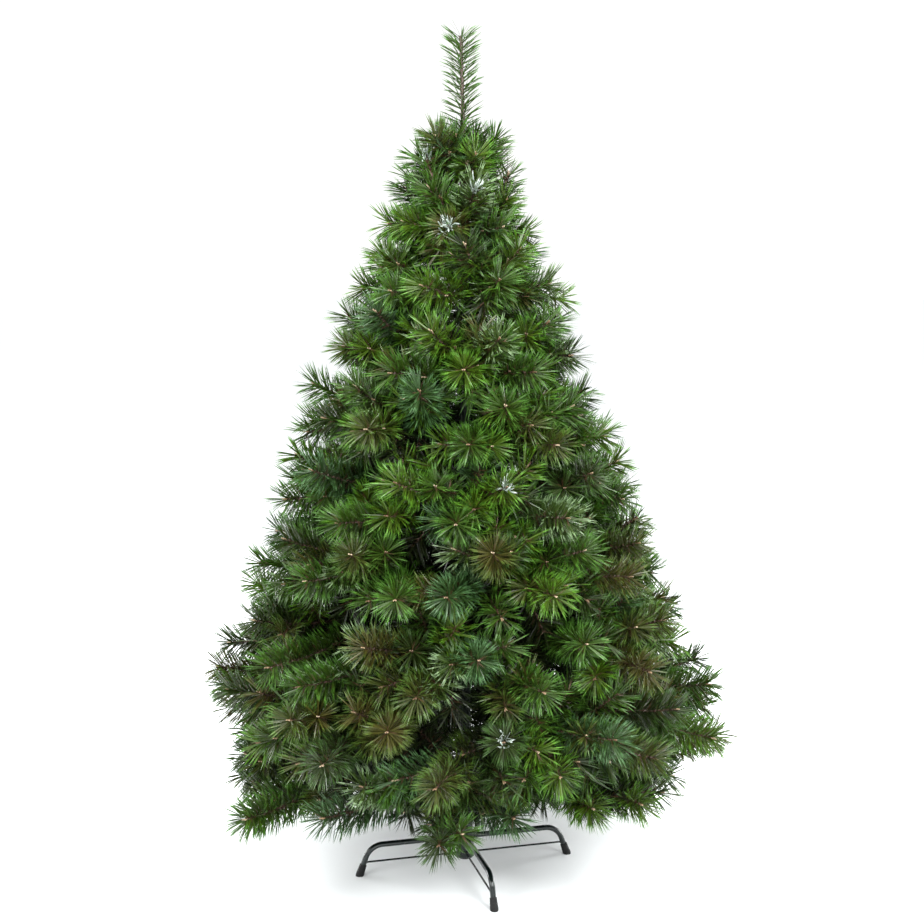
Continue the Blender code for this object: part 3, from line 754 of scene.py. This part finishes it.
def plan_bough(tier, index):
    """The stem's two ends as distances from the pole, and the curve of each twig."""
    count = TIER_TWIGS[tier]
    half = 180.0 / TIER_BOUGHS[tier]
    middle = bough_azimuth(tier, index)
    chance = random.Random(100 * tier + index)
    last = count // 2
    tips = []
    starts = []
    for k in range(count):
        offset = (k - (count - 1) / 2) * 2 * half / count
        rise = TWIG_RISE if (k + index * count) % 2 else -TWIG_RISE
        turn = offset + chance.uniform(-TWIG_TURN_SPREAD_DEG, TWIG_TURN_SPREAD_DEG)
        azimuth, reach, height = twig_tip(tier, middle + turn, rise, chance)
        height += bough_lift(tier, index)
        turned_by, further, higher = TWIGS_APART.get((tier, index, k), (0.0, 0.0, 0.0))
        tip = compass(azimuth + turned_by) * (reach + further) + UP * (height + higher)
        tip.x += crown_shift(height)
        tips.append(tip)
        share = TWIG_START - TWIG_START_AT_SIDE * abs(offset) / half
        starts.append(share * math.hypot(tip.x, tip.y))
    starts[last] = 0.0
    outer = max(starts) + STEM_PAST_LAST_TWIG
    starts[last] = outer - STEM_PAST_LAST_TWIG
    inner = collar_face(middle) + GAP
    twigs = [twig_curve(stem_point(tier, index, start), tip) for start, tip in zip(starts, tips)]
    return inner, outer, twigs


def crown_limit(height):
    """How far from the leaning axis any twig may end at a height."""
    return tip_radius(TIERS - 1, height)


def across(heading):
    """Level direction to the right of a heading."""
    sideways = heading.cross(UP)
    return sideways.normalized() if sideways.length > 0.2 else Vector((1.0, 0.0, 0.0))


def fitted(root, course, reach):
    """A twig's curve from its root along a course, cut back until it ends inside the crown."""
    sink = dice.uniform(*FINER_SINK)
    for _ in range(FITTING_TRIES):
        tip = root + course * reach
        spread = math.hypot(tip.x - crown_shift(tip.z), tip.y)
        front = max(0.0, -tip.y / max(spread, 0.1))
        lowest = LOWEST_TWIG + FRONT_LIFT * front * front
        if spread < crown_limit(tip.z) - sink and tip.z > lowest:
            break
        reach *= FITTING_CUT
    bend = root + course * reach * 0.5 - UP * reach * FINER_SAG
    return root, bend, tip


def leaning(heading, towards, degrees):
    """What leaves a heading by so many degrees towards another direction."""
    turn = math.radians(degrees)
    return heading * math.cos(turn) + towards * math.sin(turn)


def course_at(curve, share):
    """Which way a curve runs at a share of its length."""
    return (along(curve, share + 0.05) - along(curve, share - 0.05)).normalized()


def finer_twigs(curve):
    """Twigs left and right of a twig, and two over or under it, each with its kind."""
    length = (curve[2] - curve[0]).length
    made = []
    sign = dice.choice((-1.0, 1.0))
    for share in SIDE_SHARES:
        sign = -sign
        heading = course_at(curve, share)
        course = leaning(heading, across(heading) * sign, dice.uniform(*SIDE_TURN_DEG))
        course = leaning(course, UP, dice.uniform(-SIDE_RISE_DEG, SIDE_RISE_DEG)).normalized()
        reach = length * (1.0 - share) * dice.uniform(*FINER_LENGTH) + SIDE_FURTHER
        reach = clamped(reach, *FINER_LIMITS)
        made.append(("side", fitted(along(curve, share), course, reach)))
    for share, way in zip(RISER_SHARES, (sign, -sign)):
        heading = course_at(curve, share)
        turn = dice.uniform(*RISER_TURN_DEG)
        off = (UP * way + across(heading) * dice.uniform(-RISER_ASIDE, RISER_ASIDE)).normalized()
        course = leaning(heading, off, turn).normalized()
        reach = clamped(length * dice.uniform(*FINER_LENGTH) * RISER_SHORTER, *FINER_LIMITS)
        made.append(("riser", fitted(along(curve, share), course, reach)))
    return made


def inner_twigs(tier, index, outer):
    """Short twigs over, under and beside a stem, which hide the pole."""
    made = []
    radius = INNER_FROM_BARE if tier < BARE_TIERS else INNER_FROM
    lengths = INNER_LENGTH_BARE if tier < BARE_TIERS else INNER_LENGTH
    step = INNER_STEP_UPPER if tier >= INNER_UPPER_TIERS else INNER_STEP
    ahead = stem_point(tier, index, outer) - stem_point(tier, index, radius)
    ahead.normalize()
    count = 0
    while radius < outer:
        turn = dice.uniform(*INNER_TURN_DEG)
        way = 1.0 if count % 2 else -1.0
        beside = 1.0 if count // 2 % 2 else -1.0
        off = (UP * way + across(ahead) * beside * dice.uniform(*INNER_ASIDE)).normalized()
        course = leaning(ahead, off, turn).normalized()
        root = stem_point(tier, index, radius)
        made.append(("inner", fitted(root, course, dice.uniform(*lengths))))
        radius += step
        count += 1
    return made


# Needles


class Sprays:
    """Needles gathered as arrays: root, heading, side of the blade, length, width, bow and slot."""

    def __init__(self, width):
        self.width = width
        self.parts = []

    def brush(self, path, per_metre, length, leans, family=0, first=0.0):
        """Needles all along a wire from a first distance on. leans are three, as in TWIG_LEANS."""
        path = np.asarray([tuple(point) for point in path], float)
        steps = np.linalg.norm(np.diff(path, axis=0), axis=1)
        walked = np.concatenate([[0.0], np.cumsum(steps)])
        total = walked[-1]
        bunches = max(1, int((total - first) * per_metre / NEEDLES_PER_BUNCH))
        count = bunches * NEEDLES_PER_BUNCH

        def spread(of_bunch, of_needle):
            """One value to a bunch, and each needle's own small change."""
            return np.repeat(of_bunch, NEEDLES_PER_BUNCH) + dice.normal(0.0, of_needle, count)

        def read(values):
            """What is given along the path, read at each needle's place."""
            return np.stack([np.interp(place, walked, column) for column in values.T], axis=1)

        share = (np.arange(bunches) + dice.uniform(0.0, 1.0, bunches)) / bunches
        place = first + (total - first) * share**DENSER_TO_END
        place = np.clip(spread(place, PLACE_SPREAD), first, total)
        turns = np.arange(bunches) * GOLDEN_ANGLE + dice.uniform(0.0, 2 * np.pi)
        turns = spread(turns + dice.uniform(-TURN_SPREAD, TURN_SPREAD, bunches), BUNCH_SPREAD)
        ahead, beside, above = (unit(read(vectors)) for vectors in frames(path))
        outward = np.cos(turns)[:, None] * beside + np.sin(turns)[:, None] * above
        lean = leans[0] + (leans[1] - leans[0]) * (place / total)
        to_end = np.clip((total - place) / LEAN_END_LENGTH, 0.0, 1.0)
        lean = leans[2] + (lean - leans[2]) * to_end**LEAN_END_POWER
        lean += spread(dice.normal(0.0, BUNCH_LEAN_SPREAD, bunches), LEAN_SPREAD)
        lean = np.radians(lean)
        heading = ahead * np.cos(lean)[:, None] + outward * np.sin(lean)[:, None]
        flat = np.cross(ahead, outward)
        edge = np.cross(heading, flat)
        roll = spread(dice.uniform(0.0, np.pi, bunches), ROLL_SPREAD)
        blade = np.cos(roll)[:, None] * flat + np.sin(roll)[:, None] * edge
        lengths = length * spread(dice.uniform(*LENGTHS, bunches), LENGTH_SPREAD)
        bow = -ahead * spread(dice.uniform(*BOWS, bunches), BOW_SPREAD)[:, None]
        bow[:, 2] -= BOW_DOWN
        widths = self.width * dice.uniform(*WIDTHS, count)
        root = read(path) + outward * ROOT_OUT
        end = root + heading * lengths[:, None]
        kept = (end[:, 2] > LOWEST_NEEDLE) & (root[:, 2] > LOWEST_NEEDLE)
        kept &= np.hypot(end[:, 0], end[:, 1]) > NEAREST_TO_AXIS
        parts = (root, heading, blade, lengths, widths, bow, np.full(count, family, np.int32))
        self.parts.append(tuple(part[kept] for part in parts))

    def tuft(self, place, heading):
        """The few white needles of a spot of painted highlight, which fan out from one place."""
        count = PAINTED_GLINT_NEEDLES
        heading = unit(np.array(heading) + dice.normal(0.0, PAINTED_GLINT_SPREAD, (count, 3)))
        root = np.array(place) + dice.normal(0.0, PAINTED_GLINT_CLUMP, (count, 3))
        blade = unit(np.cross(heading, dice.normal(0.0, 1.0, (count, 3))))
        lengths = PAINTED_GLINT_LENGTH * dice.uniform(*PAINTED_GLINT_LENGTHS, count)
        widths = np.full(count, PAINTED_GLINT_WIDTH)
        slots = np.full(count, PAINTED_GLINT_FAMILY, np.int32)
        self.parts.append((root, heading, blade, lengths, widths, heading * 0.0, slots))

    def gathered(self):
        root, heading, blade, length, width, bow, slot = (
            np.concatenate([part[k] for part in self.parts]) for k in range(7)
        )
        return root, heading, blade, length[:, None], width[:, None], bow, slot

    def bristles_added_to(self, batch):
        """Each bristle is one pointed face."""
        root, heading, blade, length, width, bow, slot = self.gathered()
        side = blade * width * 0.5
        points = np.stack([root - side, root + side, root + (heading + bow) * length], axis=1)
        batch.add(points, np.arange(len(root) * 3).reshape(-1, 3), slot)

    def needles_added_to(self, batch):
        """Each needle is a blade of two joints: a four-sided foot and a pointed end."""
        root, heading, blade, length, width, bow, slot = self.gathered()
        middle = root + (heading + bow * NEEDLE_SHOULDER**2) * length * NEEDLE_SHOULDER
        tip = root + (heading + bow) * length
        joint = blade * width * 0.5
        foot = joint * NEEDLE_FOOT
        points = [root - foot, root + foot, middle + joint, middle - joint, tip]
        start = np.arange(len(root))[:, None] * 5
        # The foot takes its family's darker tone and the end the lighter one: partly the film's own
        # tones, partly painted shade at the foot and painted highlight at the end
        first = batch.add(np.stack(points, axis=1), start + np.array([[0, 1, 2, 3]]), slot * 2)
        batch.add_faces(first, start + np.array([[3, 2, 4]]), slot * 2 + 1)


def family_for(tip):
    """A colour family for one spray. Lower sprays are more brown and darker, most on the left:
    partly their own olive tint, partly painted shade.
    """
    low = clamped((BROWN_AND_SHADE_FROM - tip.z) / (BROWN_AND_SHADE_FROM - BROWN_AND_SHADE_FULL))
    left = clamped((BROWN_AND_SHADE_LEFT_OF - tip.x) / (BROWN_AND_SHADE_LEFT_OF - BROWN_AND_SHADE_LEFT_FULL))
    browner_and_shaded = low * (BROWN_AND_SHADE_AT_RIGHT + (1.0 - BROWN_AND_SHADE_AT_RIGHT) * left)
    shares = UPPER_SHARES + (LOWER_SHARES - UPPER_SHARES) * browner_and_shaded
    picked = int(dice.choice(len(shares), p=shares / shares.sum()))
    # Sprays whose tips lie deep inside the crown take the near-black family of painted shade
    depth = crown_limit(tip.z) - math.hypot(tip.x - crown_shift(tip.z), tip.y)
    return PAINTED_SHADE_FAMILY if depth > PAINTED_SHADE_DEPTH else picked


# Stand


def leg_azimuth(index):
    return FIRST_LEG_DEG + 360.0 * index / LEG_COUNT


def leg_line(azimuth):
    """A leg tube's middle line from the hub to its end, and which way it runs there."""
    outward = compass(azimuth)
    inner = reach_of_polygon(SLEEVE_RADIUS, SLEEVE_SIDES, azimuth) + GAP
    level = (inner, *LEG_STOPS, LEG_STRAIGHT_END)
    points = [outward * reach + UP * LEG_HEIGHT for reach in level]
    for step in range(1, LEG_BEND_STEPS + 1):
        turn = math.radians(LEG_BEND_DEG * step / LEG_BEND_STEPS)
        reach = LEG_STRAIGHT_END + LEG_BEND_RADIUS * math.sin(turn)
        height = LEG_HEIGHT - LEG_BEND_RADIUS * (1.0 - math.cos(turn))
        points.append(outward * reach + UP * height)
    slope = math.radians(LEG_BEND_DEG)
    down = outward * math.cos(slope) - UP * math.sin(slope)
    end = points[-1] + down * (points[-1].z - LEG_END_HEIGHT) / math.sin(slope)
    points += [points[-1].lerp(end, 0.5), end]
    return points, down


def weld_bead(batch, centre, axis, radius, bead):
    """A lumpy ring of weld round a joint."""
    axis = axis.normalized()
    side = axis.cross(UP)
    side = side.normalized() if side.length > 0.1 else Vector((1.0, 0.0, 0.0))
    rise = side.cross(axis)
    ring = []
    radii = []
    for k in range(WELD_STEPS + 1):
        angle = 2 * math.pi * k / WELD_STEPS
        ring.append(centre + (side * math.cos(angle) + rise * math.sin(angle)) * radius)
        lump = k % WELD_STEPS
        radii.append(bead * (1.0 + 0.18 * math.sin(7.0 * lump) + 0.1 * math.cos(3.1 * lump)))
    tube(batch, ring, radii, 8, closed=False)


def make_legs(paint):
    """Each leg is a bent tube with its brace rod, whose end is welded on."""
    for index in range(LEG_COUNT):
        line, _ = leg_line(leg_azimuth(index))
        batch = Batch()
        tube(batch, line, LEG_TUBE_RADIUS, LEG_SIDES)
        bend_end, foot_end = line[-3], line[-1]
        share = (bend_end.z - BRACE_HEIGHT) / (bend_end.z - foot_end.z)
        weld = bend_end.lerp(foot_end, share)
        inner = Vector((line[0].x, line[0].y, BRACE_HEIGHT))
        rod = [inner.lerp(weld, k / BRACE_STEPS) for k in range(BRACE_STEPS + 1)]
        tube(batch, rod, BRACE_RADIUS, BRACE_SIDES)
        towards = (inner - weld).normalized()
        centre = weld + towards * BRACE_WELD_AT
        weld_bead(batch, centre, towards, BRACE_WELD_RADIUS, BRACE_END_BEAD)
        leg = batch.made(f"leg_tube_{index + 1}", [paint], smooth=True, sharp_from=50.0)
        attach(leg, "root")
        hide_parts(f"stand_leg_{index + 1}")


def make_caps(rubber):
    """Each cap is turned, pushed on its leg's end and ground flat where it meets the floor."""
    profile = [(CAP_RADIUS * share, height) for share, height in CAP_OUTSIDE]
    profile += [(CAP_BORE + wider, CAP_LENGTH - depth) for wider, depth in CAP_INSIDE]
    for index in range(LEG_COUNT):
        line, down = leg_line(leg_azimuth(index))
        seat = np.array(line[-1] + down * GAP)
        back = np.array(-down)
        side = np.array(down.cross(UP).normalized())
        axes = np.stack([side, np.cross(back, side), back])

        def placed(points):
            points = seat + points @ axes
            slide = np.minimum(points[..., 2], 0.0) / back[2]
            return points - back * slide[..., None]

        batch = Batch()
        turned(batch, profile, CAP_SIDES, placed)
        cap = batch.made(f"rubber_foot_{index + 1}", [rubber], smooth=True, sharp_from=55.0)
        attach(cap, "root")
        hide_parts(f"foot_cap_{index + 1}")


def hub_profile():
    """Radius and height of the socket, over its chamfered sleeves and down its bore."""
    floor = HUB_FLOOR + HUB_FLOOR_THICKNESS
    slim, wide = HUB_RADIUS - CHAMFER, SLEEVE_RADIUS - CHAMFER
    profile = [(0.0, HUB_FLOOR), (slim, HUB_FLOOR), (HUB_RADIUS, HUB_FLOOR + CHAMFER)]
    for height, half in SLEEVES:
        low, high = height - half, height + half
        profile += [(HUB_RADIUS, low), (wide, low), (SLEEVE_RADIUS, low + CHAMFER)]
        profile += [(SLEEVE_RADIUS, high - CHAMFER), (wide, high), (HUB_RADIUS, high)]
    profile += [(HUB_RADIUS + wider, HUB_TOP - depth) for wider, depth in HUB_LIP]
    profile += [(HUB_BORE + HUB_BORE_FLARE, HUB_TOP), (HUB_BORE, HUB_TOP - EDGE)]
    return profile + [(HUB_BORE, floor), (0.0, floor)]


def add_wing_screw(batch):
    """A nut on the hub, the threaded shank, and a head with two wings."""
    outward = compass(SCREW_DEG)
    face = outward * HUB_RADIUS + UP * SCREW_HEIGHT
    bar(batch, face - outward * SCREW_NUT_SINK, outward, SCREW_NUT, 6)
    thread = (THREAD_FOOT, 1.0)
    steps = [(SCREW_RING_STEP * k, SCREW_RADIUS * thread[k % 2]) for k in range(SCREW_RINGS)]
    bar(batch, face, outward, steps, 18)
    start = face + outward * (SCREW_LENGTH - SCREW_RADIUS)
    for way in (-1.0, 1.0):
        rib = []
        radii = []
        for k in range(SCREW_WING_STEPS + 1):
            share = k / SCREW_WING_STEPS
            reach = SCREW_WING_HEIGHT * (0.18 + 0.72 * math.sin(math.pi * share * 0.62))
            height = way * (0.0015 + (SCREW_WING_WIDTH / 2 - 0.003) * share)
            rib.append(start + outward * reach + UP * height)
            radii.append(SCREW_WING_THICKNESS * (0.62 + 0.25 * math.sin(math.pi * share)))
        tube(batch, rib, radii, 12)
    bar(batch, start, outward, SCREW_BOSS, 16)
    askew = start - compass(SCREW_DEG + 90.0) * SCREW_FLANGE_ASKEW
    tube(batch, [askew, start + outward * SCREW_FLANGE_LENGTH], SCREW_FLANGE_RADIUS, 16)


def make_hub(paint):
    """The socket with its sleeves, weld beads where the legs meet it, and a wing screw."""
    batch = Batch()
    turned(batch, hub_profile(), HUB_SIDES)
    for index in range(LEG_COUNT):
        outward = compass(leg_azimuth(index))
        face = outward * SLEEVE_RADIUS
        weld_bead(batch, face + UP * LEG_HEIGHT, outward, LEG_TUBE_RADIUS, LEG_WELD_BEAD)
        weld_bead(batch, face + UP * BRACE_HEIGHT, outward, BRACE_RADIUS, BRACE_WELD_BEAD)
    add_wing_screw(batch)
    hub = batch.made("stand_socket", [paint], smooth=True, sharp_from=38.0)
    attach(hub, "root")
    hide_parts("stand_hub")


def pole_radius(height):
    for top, radius in POLE_SECTIONS:
        if height <= top:
            return radius
    return POLE_SECTIONS[-1][1]


def add_section(batch, floor, top, radius):
    """One length of the pole, a little uneven, with its weld seam at the back."""
    profile = [(0.0, floor), (radius - EDGE, floor), (radius, floor + CHAMFER)]
    count = max(6, int((top - floor) / POLE_RING_STEP))
    for k in range(1, count):
        height = floor + (top - floor) * k / count
        dent = POLE_DENT * math.sin(height * 310.0) * math.sin(height * 97.0)
        profile.append((radius + dent, height))
    profile += [(radius, top - CHAMFER), (radius - EDGE, top), (0.0, top)]
    turned(batch, profile, POLE_ROUND_SIDES)
    foot = Vector((0.0, radius, floor + POLE_SEAM_END))
    rise = UP * (top - floor - 2 * POLE_SEAM_END)
    tube(batch, [foot + rise * k / count for k in range(count + 1)], POLE_SEAM_RADIUS, 6)


def add_sleeve(batch, joint, radius):
    """The swaged sleeve over a joint, with a rivet in it."""
    low, high = joint - POLE_SLEEVE_LENGTH / 2, joint + POLE_SLEEVE_LENGTH / 2
    outer = radius + POLE_SLEEVE_WALL
    profile = [(radius - POLE_SLEEVE_SINKS[0], low)]
    profile += [(outer - less, low + rise) for less, rise in POLE_SLEEVE_EDGE]
    profile += [(outer - less, high - fall) for less, fall in reversed(POLE_SLEEVE_EDGE)]
    profile += [(radius - POLE_SLEEVE_SINKS[1], high)]
    turned(batch, profile, POLE_ROUND_SIDES)
    rivet = Vector((outer - RIVET_SINK, 0.0, joint - POLE_SLEEVE_LENGTH / 4))
    bar(batch, rivet, compass(0.0), RIVET, 12)


def add_collar(batch, tier):
    """A tier's collar, with two ears and a pin for the foot of each bough."""
    middle = root_height(tier)
    radius = pole_radius(middle)
    outer = radius + COLLAR_WALL
    low, high = middle - COLLAR_HEIGHT / 2, middle + COLLAR_HEIGHT / 2
    profile = [(radius - COLLAR_SINK, low), (outer - EDGE, low), (outer, low + EDGE)]
    profile += [(outer, high - EDGE), (outer - EDGE, high), (radius - COLLAR_SINK, high)]
    turned(batch, profile, POLE_ROUND_SIDES)
    at_root, at_end = EAR_HEIGHTS
    for index in range(TIER_BOUGHS[tier]):
        azimuth = bough_azimuth(tier, index)
        outward = compass(azimuth)
        sideways = compass(azimuth + 90.0)
        root, end = radius + EAR_ROOT, collar_face(azimuth) + EAR_REACH
        outline = ((root, -at_root), (end, -at_end), (end, at_end), (root, at_root))
        for way in (-EAR_APART, EAR_APART):
            ear = []
            for reach, height in outline:
                point = outward * reach + sideways * way + UP * (middle + height)
                thick = sideways * EAR_HALF_THICKNESS
                ear += [tuple(point - thick), tuple(point + thick)]
            batch.add(ear, EAR_FACES)
        pin = outward * (collar_face(azimuth) + EAR_PIN_REACH) + UP * middle
        half = sideways * EAR_PIN_HALF
        tube(batch, [pin - half, pin + half], EAR_PIN_RADIUS, 10)


def make_pole(paint):
    """The pole with swaged joints, a weld seam down each section, and collars."""
    batch = Batch()
    floor = HUB_FLOOR + HUB_FLOOR_THICKNESS + GAP
    for top, radius in POLE_SECTIONS:
        add_section(batch, floor, top, radius)
        floor = top
    for top, radius in POLE_SECTIONS[:-1]:
        add_sleeve(batch, top, radius)
    for tier in range(TIERS):
        add_collar(batch, tier)
    pole = batch.made("pole_tube", [paint], smooth=True, sharp_from=35.0)
    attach(pole, "root")
    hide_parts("pole")


# The crown's pieces


class Crown:
    """What all the twigs of the crown are gathered into, each kind of thing apart."""

    def __init__(self):
        self.boughs = Batch()
        self.twigs = Batch()
        self.stubs = Batch()
        self.bristles = Sprays(BRISTLE_WIDTH)
        self.needles = Sprays(NEEDLE_WIDTH)
        self.mains = []
        self.fronts = []

    def add_twig(self, kind, curve):
        """One twig: twisted wire, its needles in one family, brown bristles and a trimmed end."""
        root_radius, end_radius, per_metre, share = TWIG_KINDS[kind]
        family = INNER_FAMILIES[kind] if kind in INNER_FAMILIES else family_for(curve[2])
        path = sampled(curve, WIRE_STEP)
        tube(self.twigs, path, np.linspace(root_radius, end_radius, len(path)), 3, TWIG_TWIST)
        length = NEEDLE_LENGTH * share
        self.needles.brush(path, per_metre, length, TWIG_LEANS, family, NEEDLES_FROM)
        self.bristles.brush(path, BRISTLES_PER_METRE, BRISTLE_LENGTH, TWIG_BRISTLE_LEANS)
        if kind in ("main", "side", "outline"):
            self.add_end(curve)
            if curve[2].y < 0.0:
                self.fronts.append(curve)

    def add_painted_glints(self):
        """Small white tufts of painted highlight on the front, each at the end of the nearest twig.
        """
        for place in PAINTED_GLINT_SPOTS:
            spot = Vector(place)
            twig = min(self.fronts, key=lambda curve: (along(curve, PAINTED_GLINT_AT) - spot).length)
            heading = (twig[2] - twig[1]).normalized() + UP * PAINTED_GLINT_RISE
            self.needles.tuft(along(twig, PAINTED_GLINT_AT), heading)

    def add_end(self, curve):
        """The trimmed end of a twig: two short stubs of pale wire, set a little apart."""
        heading = (curve[2] - curve[1]).normalized()
        side = across(heading)
        tone = int(dice.integers(len(CUT_WIRE_TONES)))
        for way, reach in zip((-1.0, 1.0), STUB_REACHES):
            root = curve[2] - heading * STUB_SINK + side * way * STUB_APART[0]
            end = curve[2] + heading * reach + side * way * STUB_APART[1]
            tube(self.stubs, [root, end], STUB_RADII, 5, slot=tone)

    def add_stem(self, stem, radii, ridge, leans, family, first):
        """A bough's or the leader's ridged wire and its needles."""
        tube(self.boughs, stem, np.linspace(*radii, len(stem)), 8, ridge=ridge)
        self.needles.brush(stem, STEM_PER_METRE, STEM_NEEDLE_LENGTH, leans, family, first)

    def add_bough(self, tier, index):
        """A stem with its own needles, the twigs on it, and the finer twigs on each of those."""
        inner, outer, twigs = plan_bough(tier, index)
        count = math.ceil((outer - inner) / STEM_STEP)
        reaches = [inner + (outer - inner) * k / count for k in range(count + 1)]
        stem = [stem_point(tier, index, reach) for reach in reaches]
        first = STEM_NEEDLES_FROM_BARE if tier < BARE_TIERS else STEM_NEEDLES_FROM
        # The stem's needles near the pole take the near-black family of painted shade
        self.add_stem(stem, STEM_RADII, STEM_RIDGE, STEM_LEANS, PAINTED_SHADE_FAMILY, first)
        per_metre = STEM_BRISTLES_PER_METRE
        leans = STEM_BRISTLE_LEANS
        self.bristles.brush(stem, per_metre, BRISTLE_LENGTH, leans, first=STEM_BRISTLES_FROM)
        for kind, curve in inner_twigs(tier, index, outer):
            self.add_twig(kind, curve)
        for curve in twigs:
            self.add_main(curve)
            self.mains.append(curve)

    def add_main(self, curve):
        """A main twig and the finer twigs on it."""
        self.add_twig("main", curve)
        for kind, finer in finer_twigs(curve):
            self.add_twig(kind, finer)

    def add_leader(self):
        """The upright leader on the pole's top, and the twigs round its foot."""
        shift = Vector((LEADER_SHIFT, 0.0, 0.0))
        base = UP * (POLE_TOP + GAP)
        start = UP * LEADER_NEEDLES_FROM + shift * 0.5
        end = UP * LEADER_WIRE_END + shift
        foot, rest = LEADER_STEPS
        path = [base.lerp(start, k / foot) for k in range(foot)]
        path += [start.lerp(end, k / rest) for k in range(rest + 1)]
        first = STEM_NEEDLES_FROM
        self.add_stem(path, LEADER_RADII, LEADER_RIDGE, LEADER_LEANS, LEADER_FAMILY, first)
        per_metre, length = LEADER_BRISTLES
        self.bristles.brush(path[foot:], per_metre, length, LEADER_BRISTLE_LEANS)
        chance = random.Random(1000)
        for k in range(LEADER_TWIGS):
            spread = chance.uniform(-LEADER_TWIG_SPREAD_DEG, LEADER_TWIG_SPREAD_DEG)
            azimuth = 360.0 * k / LEADER_TWIGS + spread
            rise = TWIG_RISE * 0.5 * (-1) ** k
            tip = compass(azimuth) * LEADER_TWIG_REACH + UP * (LEADER_TWIG_TIPS + rise)
            tip.x += crown_shift(tip.z)
            self.add_main(twig_curve(UP * (LEADER_TWIGS_FROM + rise * 0.5), tip))
            between = compass(azimuth + 180.0 / LEADER_TWIGS)
            tip = between * LEADER_INNER_REACH + UP * LEADER_INNER_TIPS
            tip.x += crown_shift(tip.z)
            self.add_twig("side", twig_curve(UP * LEADER_INNER_FROM, tip))


def ring_tips():
    """The tips of the filling rings, low and high by turns."""
    made = []
    for count, radius, heights in FILLING_RINGS:
        made += [compass(360.0 * k / count) * radius + UP * heights[k % 2] for k in range(count)]
    return tuple(made)


def further_twigs(mains, tips):
    """Twigs to given tips, each from the nearest place on a main twig behind its tip."""
    made = []
    for place in tips:
        tip = Vector(place)
        roots = [along(curve, share) for curve in mains for share in OUTLINE_TWIG_SHARES]
        roots = [root for root in roots if (tip - root).length > OUTLINE_TWIG_LENGTH]
        root = min(roots, key=lambda root: (tip - root).length + abs(tip.z - root.z))
        made.append(twig_curve(root, tip))
    return made


def make_crown(films, brown, wire, bark, cut_wires):
    """The needles by tiers, then what runs through all of them: stems, wires, ends and bristles."""
    crown = Crown()
    for name, tiers in NEEDLE_PIECES.items():
        crown.needles = Sprays(NEEDLE_WIDTH)
        nodes = []
        for tier in tiers:
            for index in range(TIER_BOUGHS[tier]):
                nodes.append(f"foliage_{tier + 1}_{index + 1}")
                crown.add_bough(tier, index)
        if name == "top":
            nodes.append("leader")
            crown.add_leader()
            for curve in further_twigs(crown.mains, OUTLINE_TIPS):
                crown.add_twig("outline", curve)
            for curve in further_twigs(crown.mains, FILLING_TIPS + ring_tips()):
                crown.add_twig("filling", curve)
            crown.add_painted_glints()
        batch = Batch()
        crown.needles.needles_added_to(batch)
        piece = batch.made(f"needles_{name}", films)
        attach(piece, "root")
        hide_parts(*nodes)
    bare = []
    for tier in range(BARE_TIERS):
        bare += [f"bough_{tier + 1}_{index + 1}" for index in range(TIER_BOUGHS[tier])]
    boughs = crown.boughs.made("bough_wires", [bark], smooth=True)
    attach(boughs, "root")
    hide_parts(*bare)
    twigs = crown.twigs.made("twig_wires", [wire])
    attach(twigs, "root")
    stubs = crown.stubs.made("twig_ends", cut_wires, smooth=True)
    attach(stubs, "root")
    batch = Batch()
    crown.bristles.bristles_added_to(batch)
    haze = batch.made("stem_bristles", [brown])
    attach(haze, "root")


# Stage, lights and camera


def placed_in_scene(name, data, place):
    made = bpy.data.objects.new(name, data)
    made.location = place
    bpy.context.scene.collection.objects.link(made)
    return made


def make_stage():
    """A wide floor, an even sky, square lights and the camera at the photo's place."""
    half = FLOOR_HALF
    corners = [(-half, -half, 0.0), (half, -half, 0.0), (half, half, 0.0), (-half, half, 0.0)]
    batch = Batch()
    batch.add(corners, [(0, 1, 2, 3)])
    floor = batch.made("floor", [floor_material("floor", *FLOOR_TONES)])
    world = bpy.data.worlds.new("studio")
    world.use_nodes = True
    sky = world.node_tree.nodes["Background"]
    set_inputs(sky, Color=(1.0, 1.0, 1.0, 1.0), Strength=SKY_STRENGTH)
    bpy.context.scene.world = world
    for name, place, aim, size, power in LIGHTS:
        data = bpy.data.lights.new(name, "AREA")
        data.shape = "SQUARE"
        data.size = size
        data.energy = power
        light = placed_in_scene(name, data, place)
        light.rotation_mode = "QUATERNION"
        light.rotation_quaternion = (Vector(place) - UP * aim).to_track_quat("Z", "Y")
    data = bpy.data.cameras.new("camera")
    data.sensor_width = CAMERA_SENSOR
    data.lens = CAMERA_LENS
    data.clip_end = CAMERA_FAR
    camera = placed_in_scene("camera", data, CAMERA_PLACE)
    camera.rotation_euler = (math.pi / 2 - CAMERA_PITCH_DOWN, 0.0, 0.0)
    bpy.context.scene.camera = camera
    bpy.context.scene.view_settings.view_transform = "Standard"


def main():
    make_stage()
    paint = paint_material("stand_paint", *STAND_PAINT, roughness=0.24, metallic=0.45, peel=0.12)
    pole = paint_material("pole_paint_relief", *POLE_PAINT, roughness=0.42, metallic=0.3, peel=0.2)
    rubber = rubber_material("rubber_feet", RUBBER)
    bark = wire_material("bough_paint", *BOUGH_PAINT)
    wire = wire_material("twig_paint", *TWIG_PAINT)
    stubs = [wire_material(f"cut_wire_{k}", *tones) for k, tones in enumerate(CUT_WIRE_TONES)]
    films = []
    for name, (foot, end) in FAMILIES.items():
        # The darker foot tone is partly painted shade, the lighter end tone partly painted
        # highlight
        films.append(film_material(name + "_foot", foot))
        films.append(film_material(name + "_end", end, roughness=0.36))
    brown = film_material("brown_film", BROWN_FILM, roughness=0.5)
    make_legs(paint)
    make_caps(rubber)
    make_hub(paint)
    make_pole(pole)
    make_crown(films, brown, wire, bark, stubs)


main()
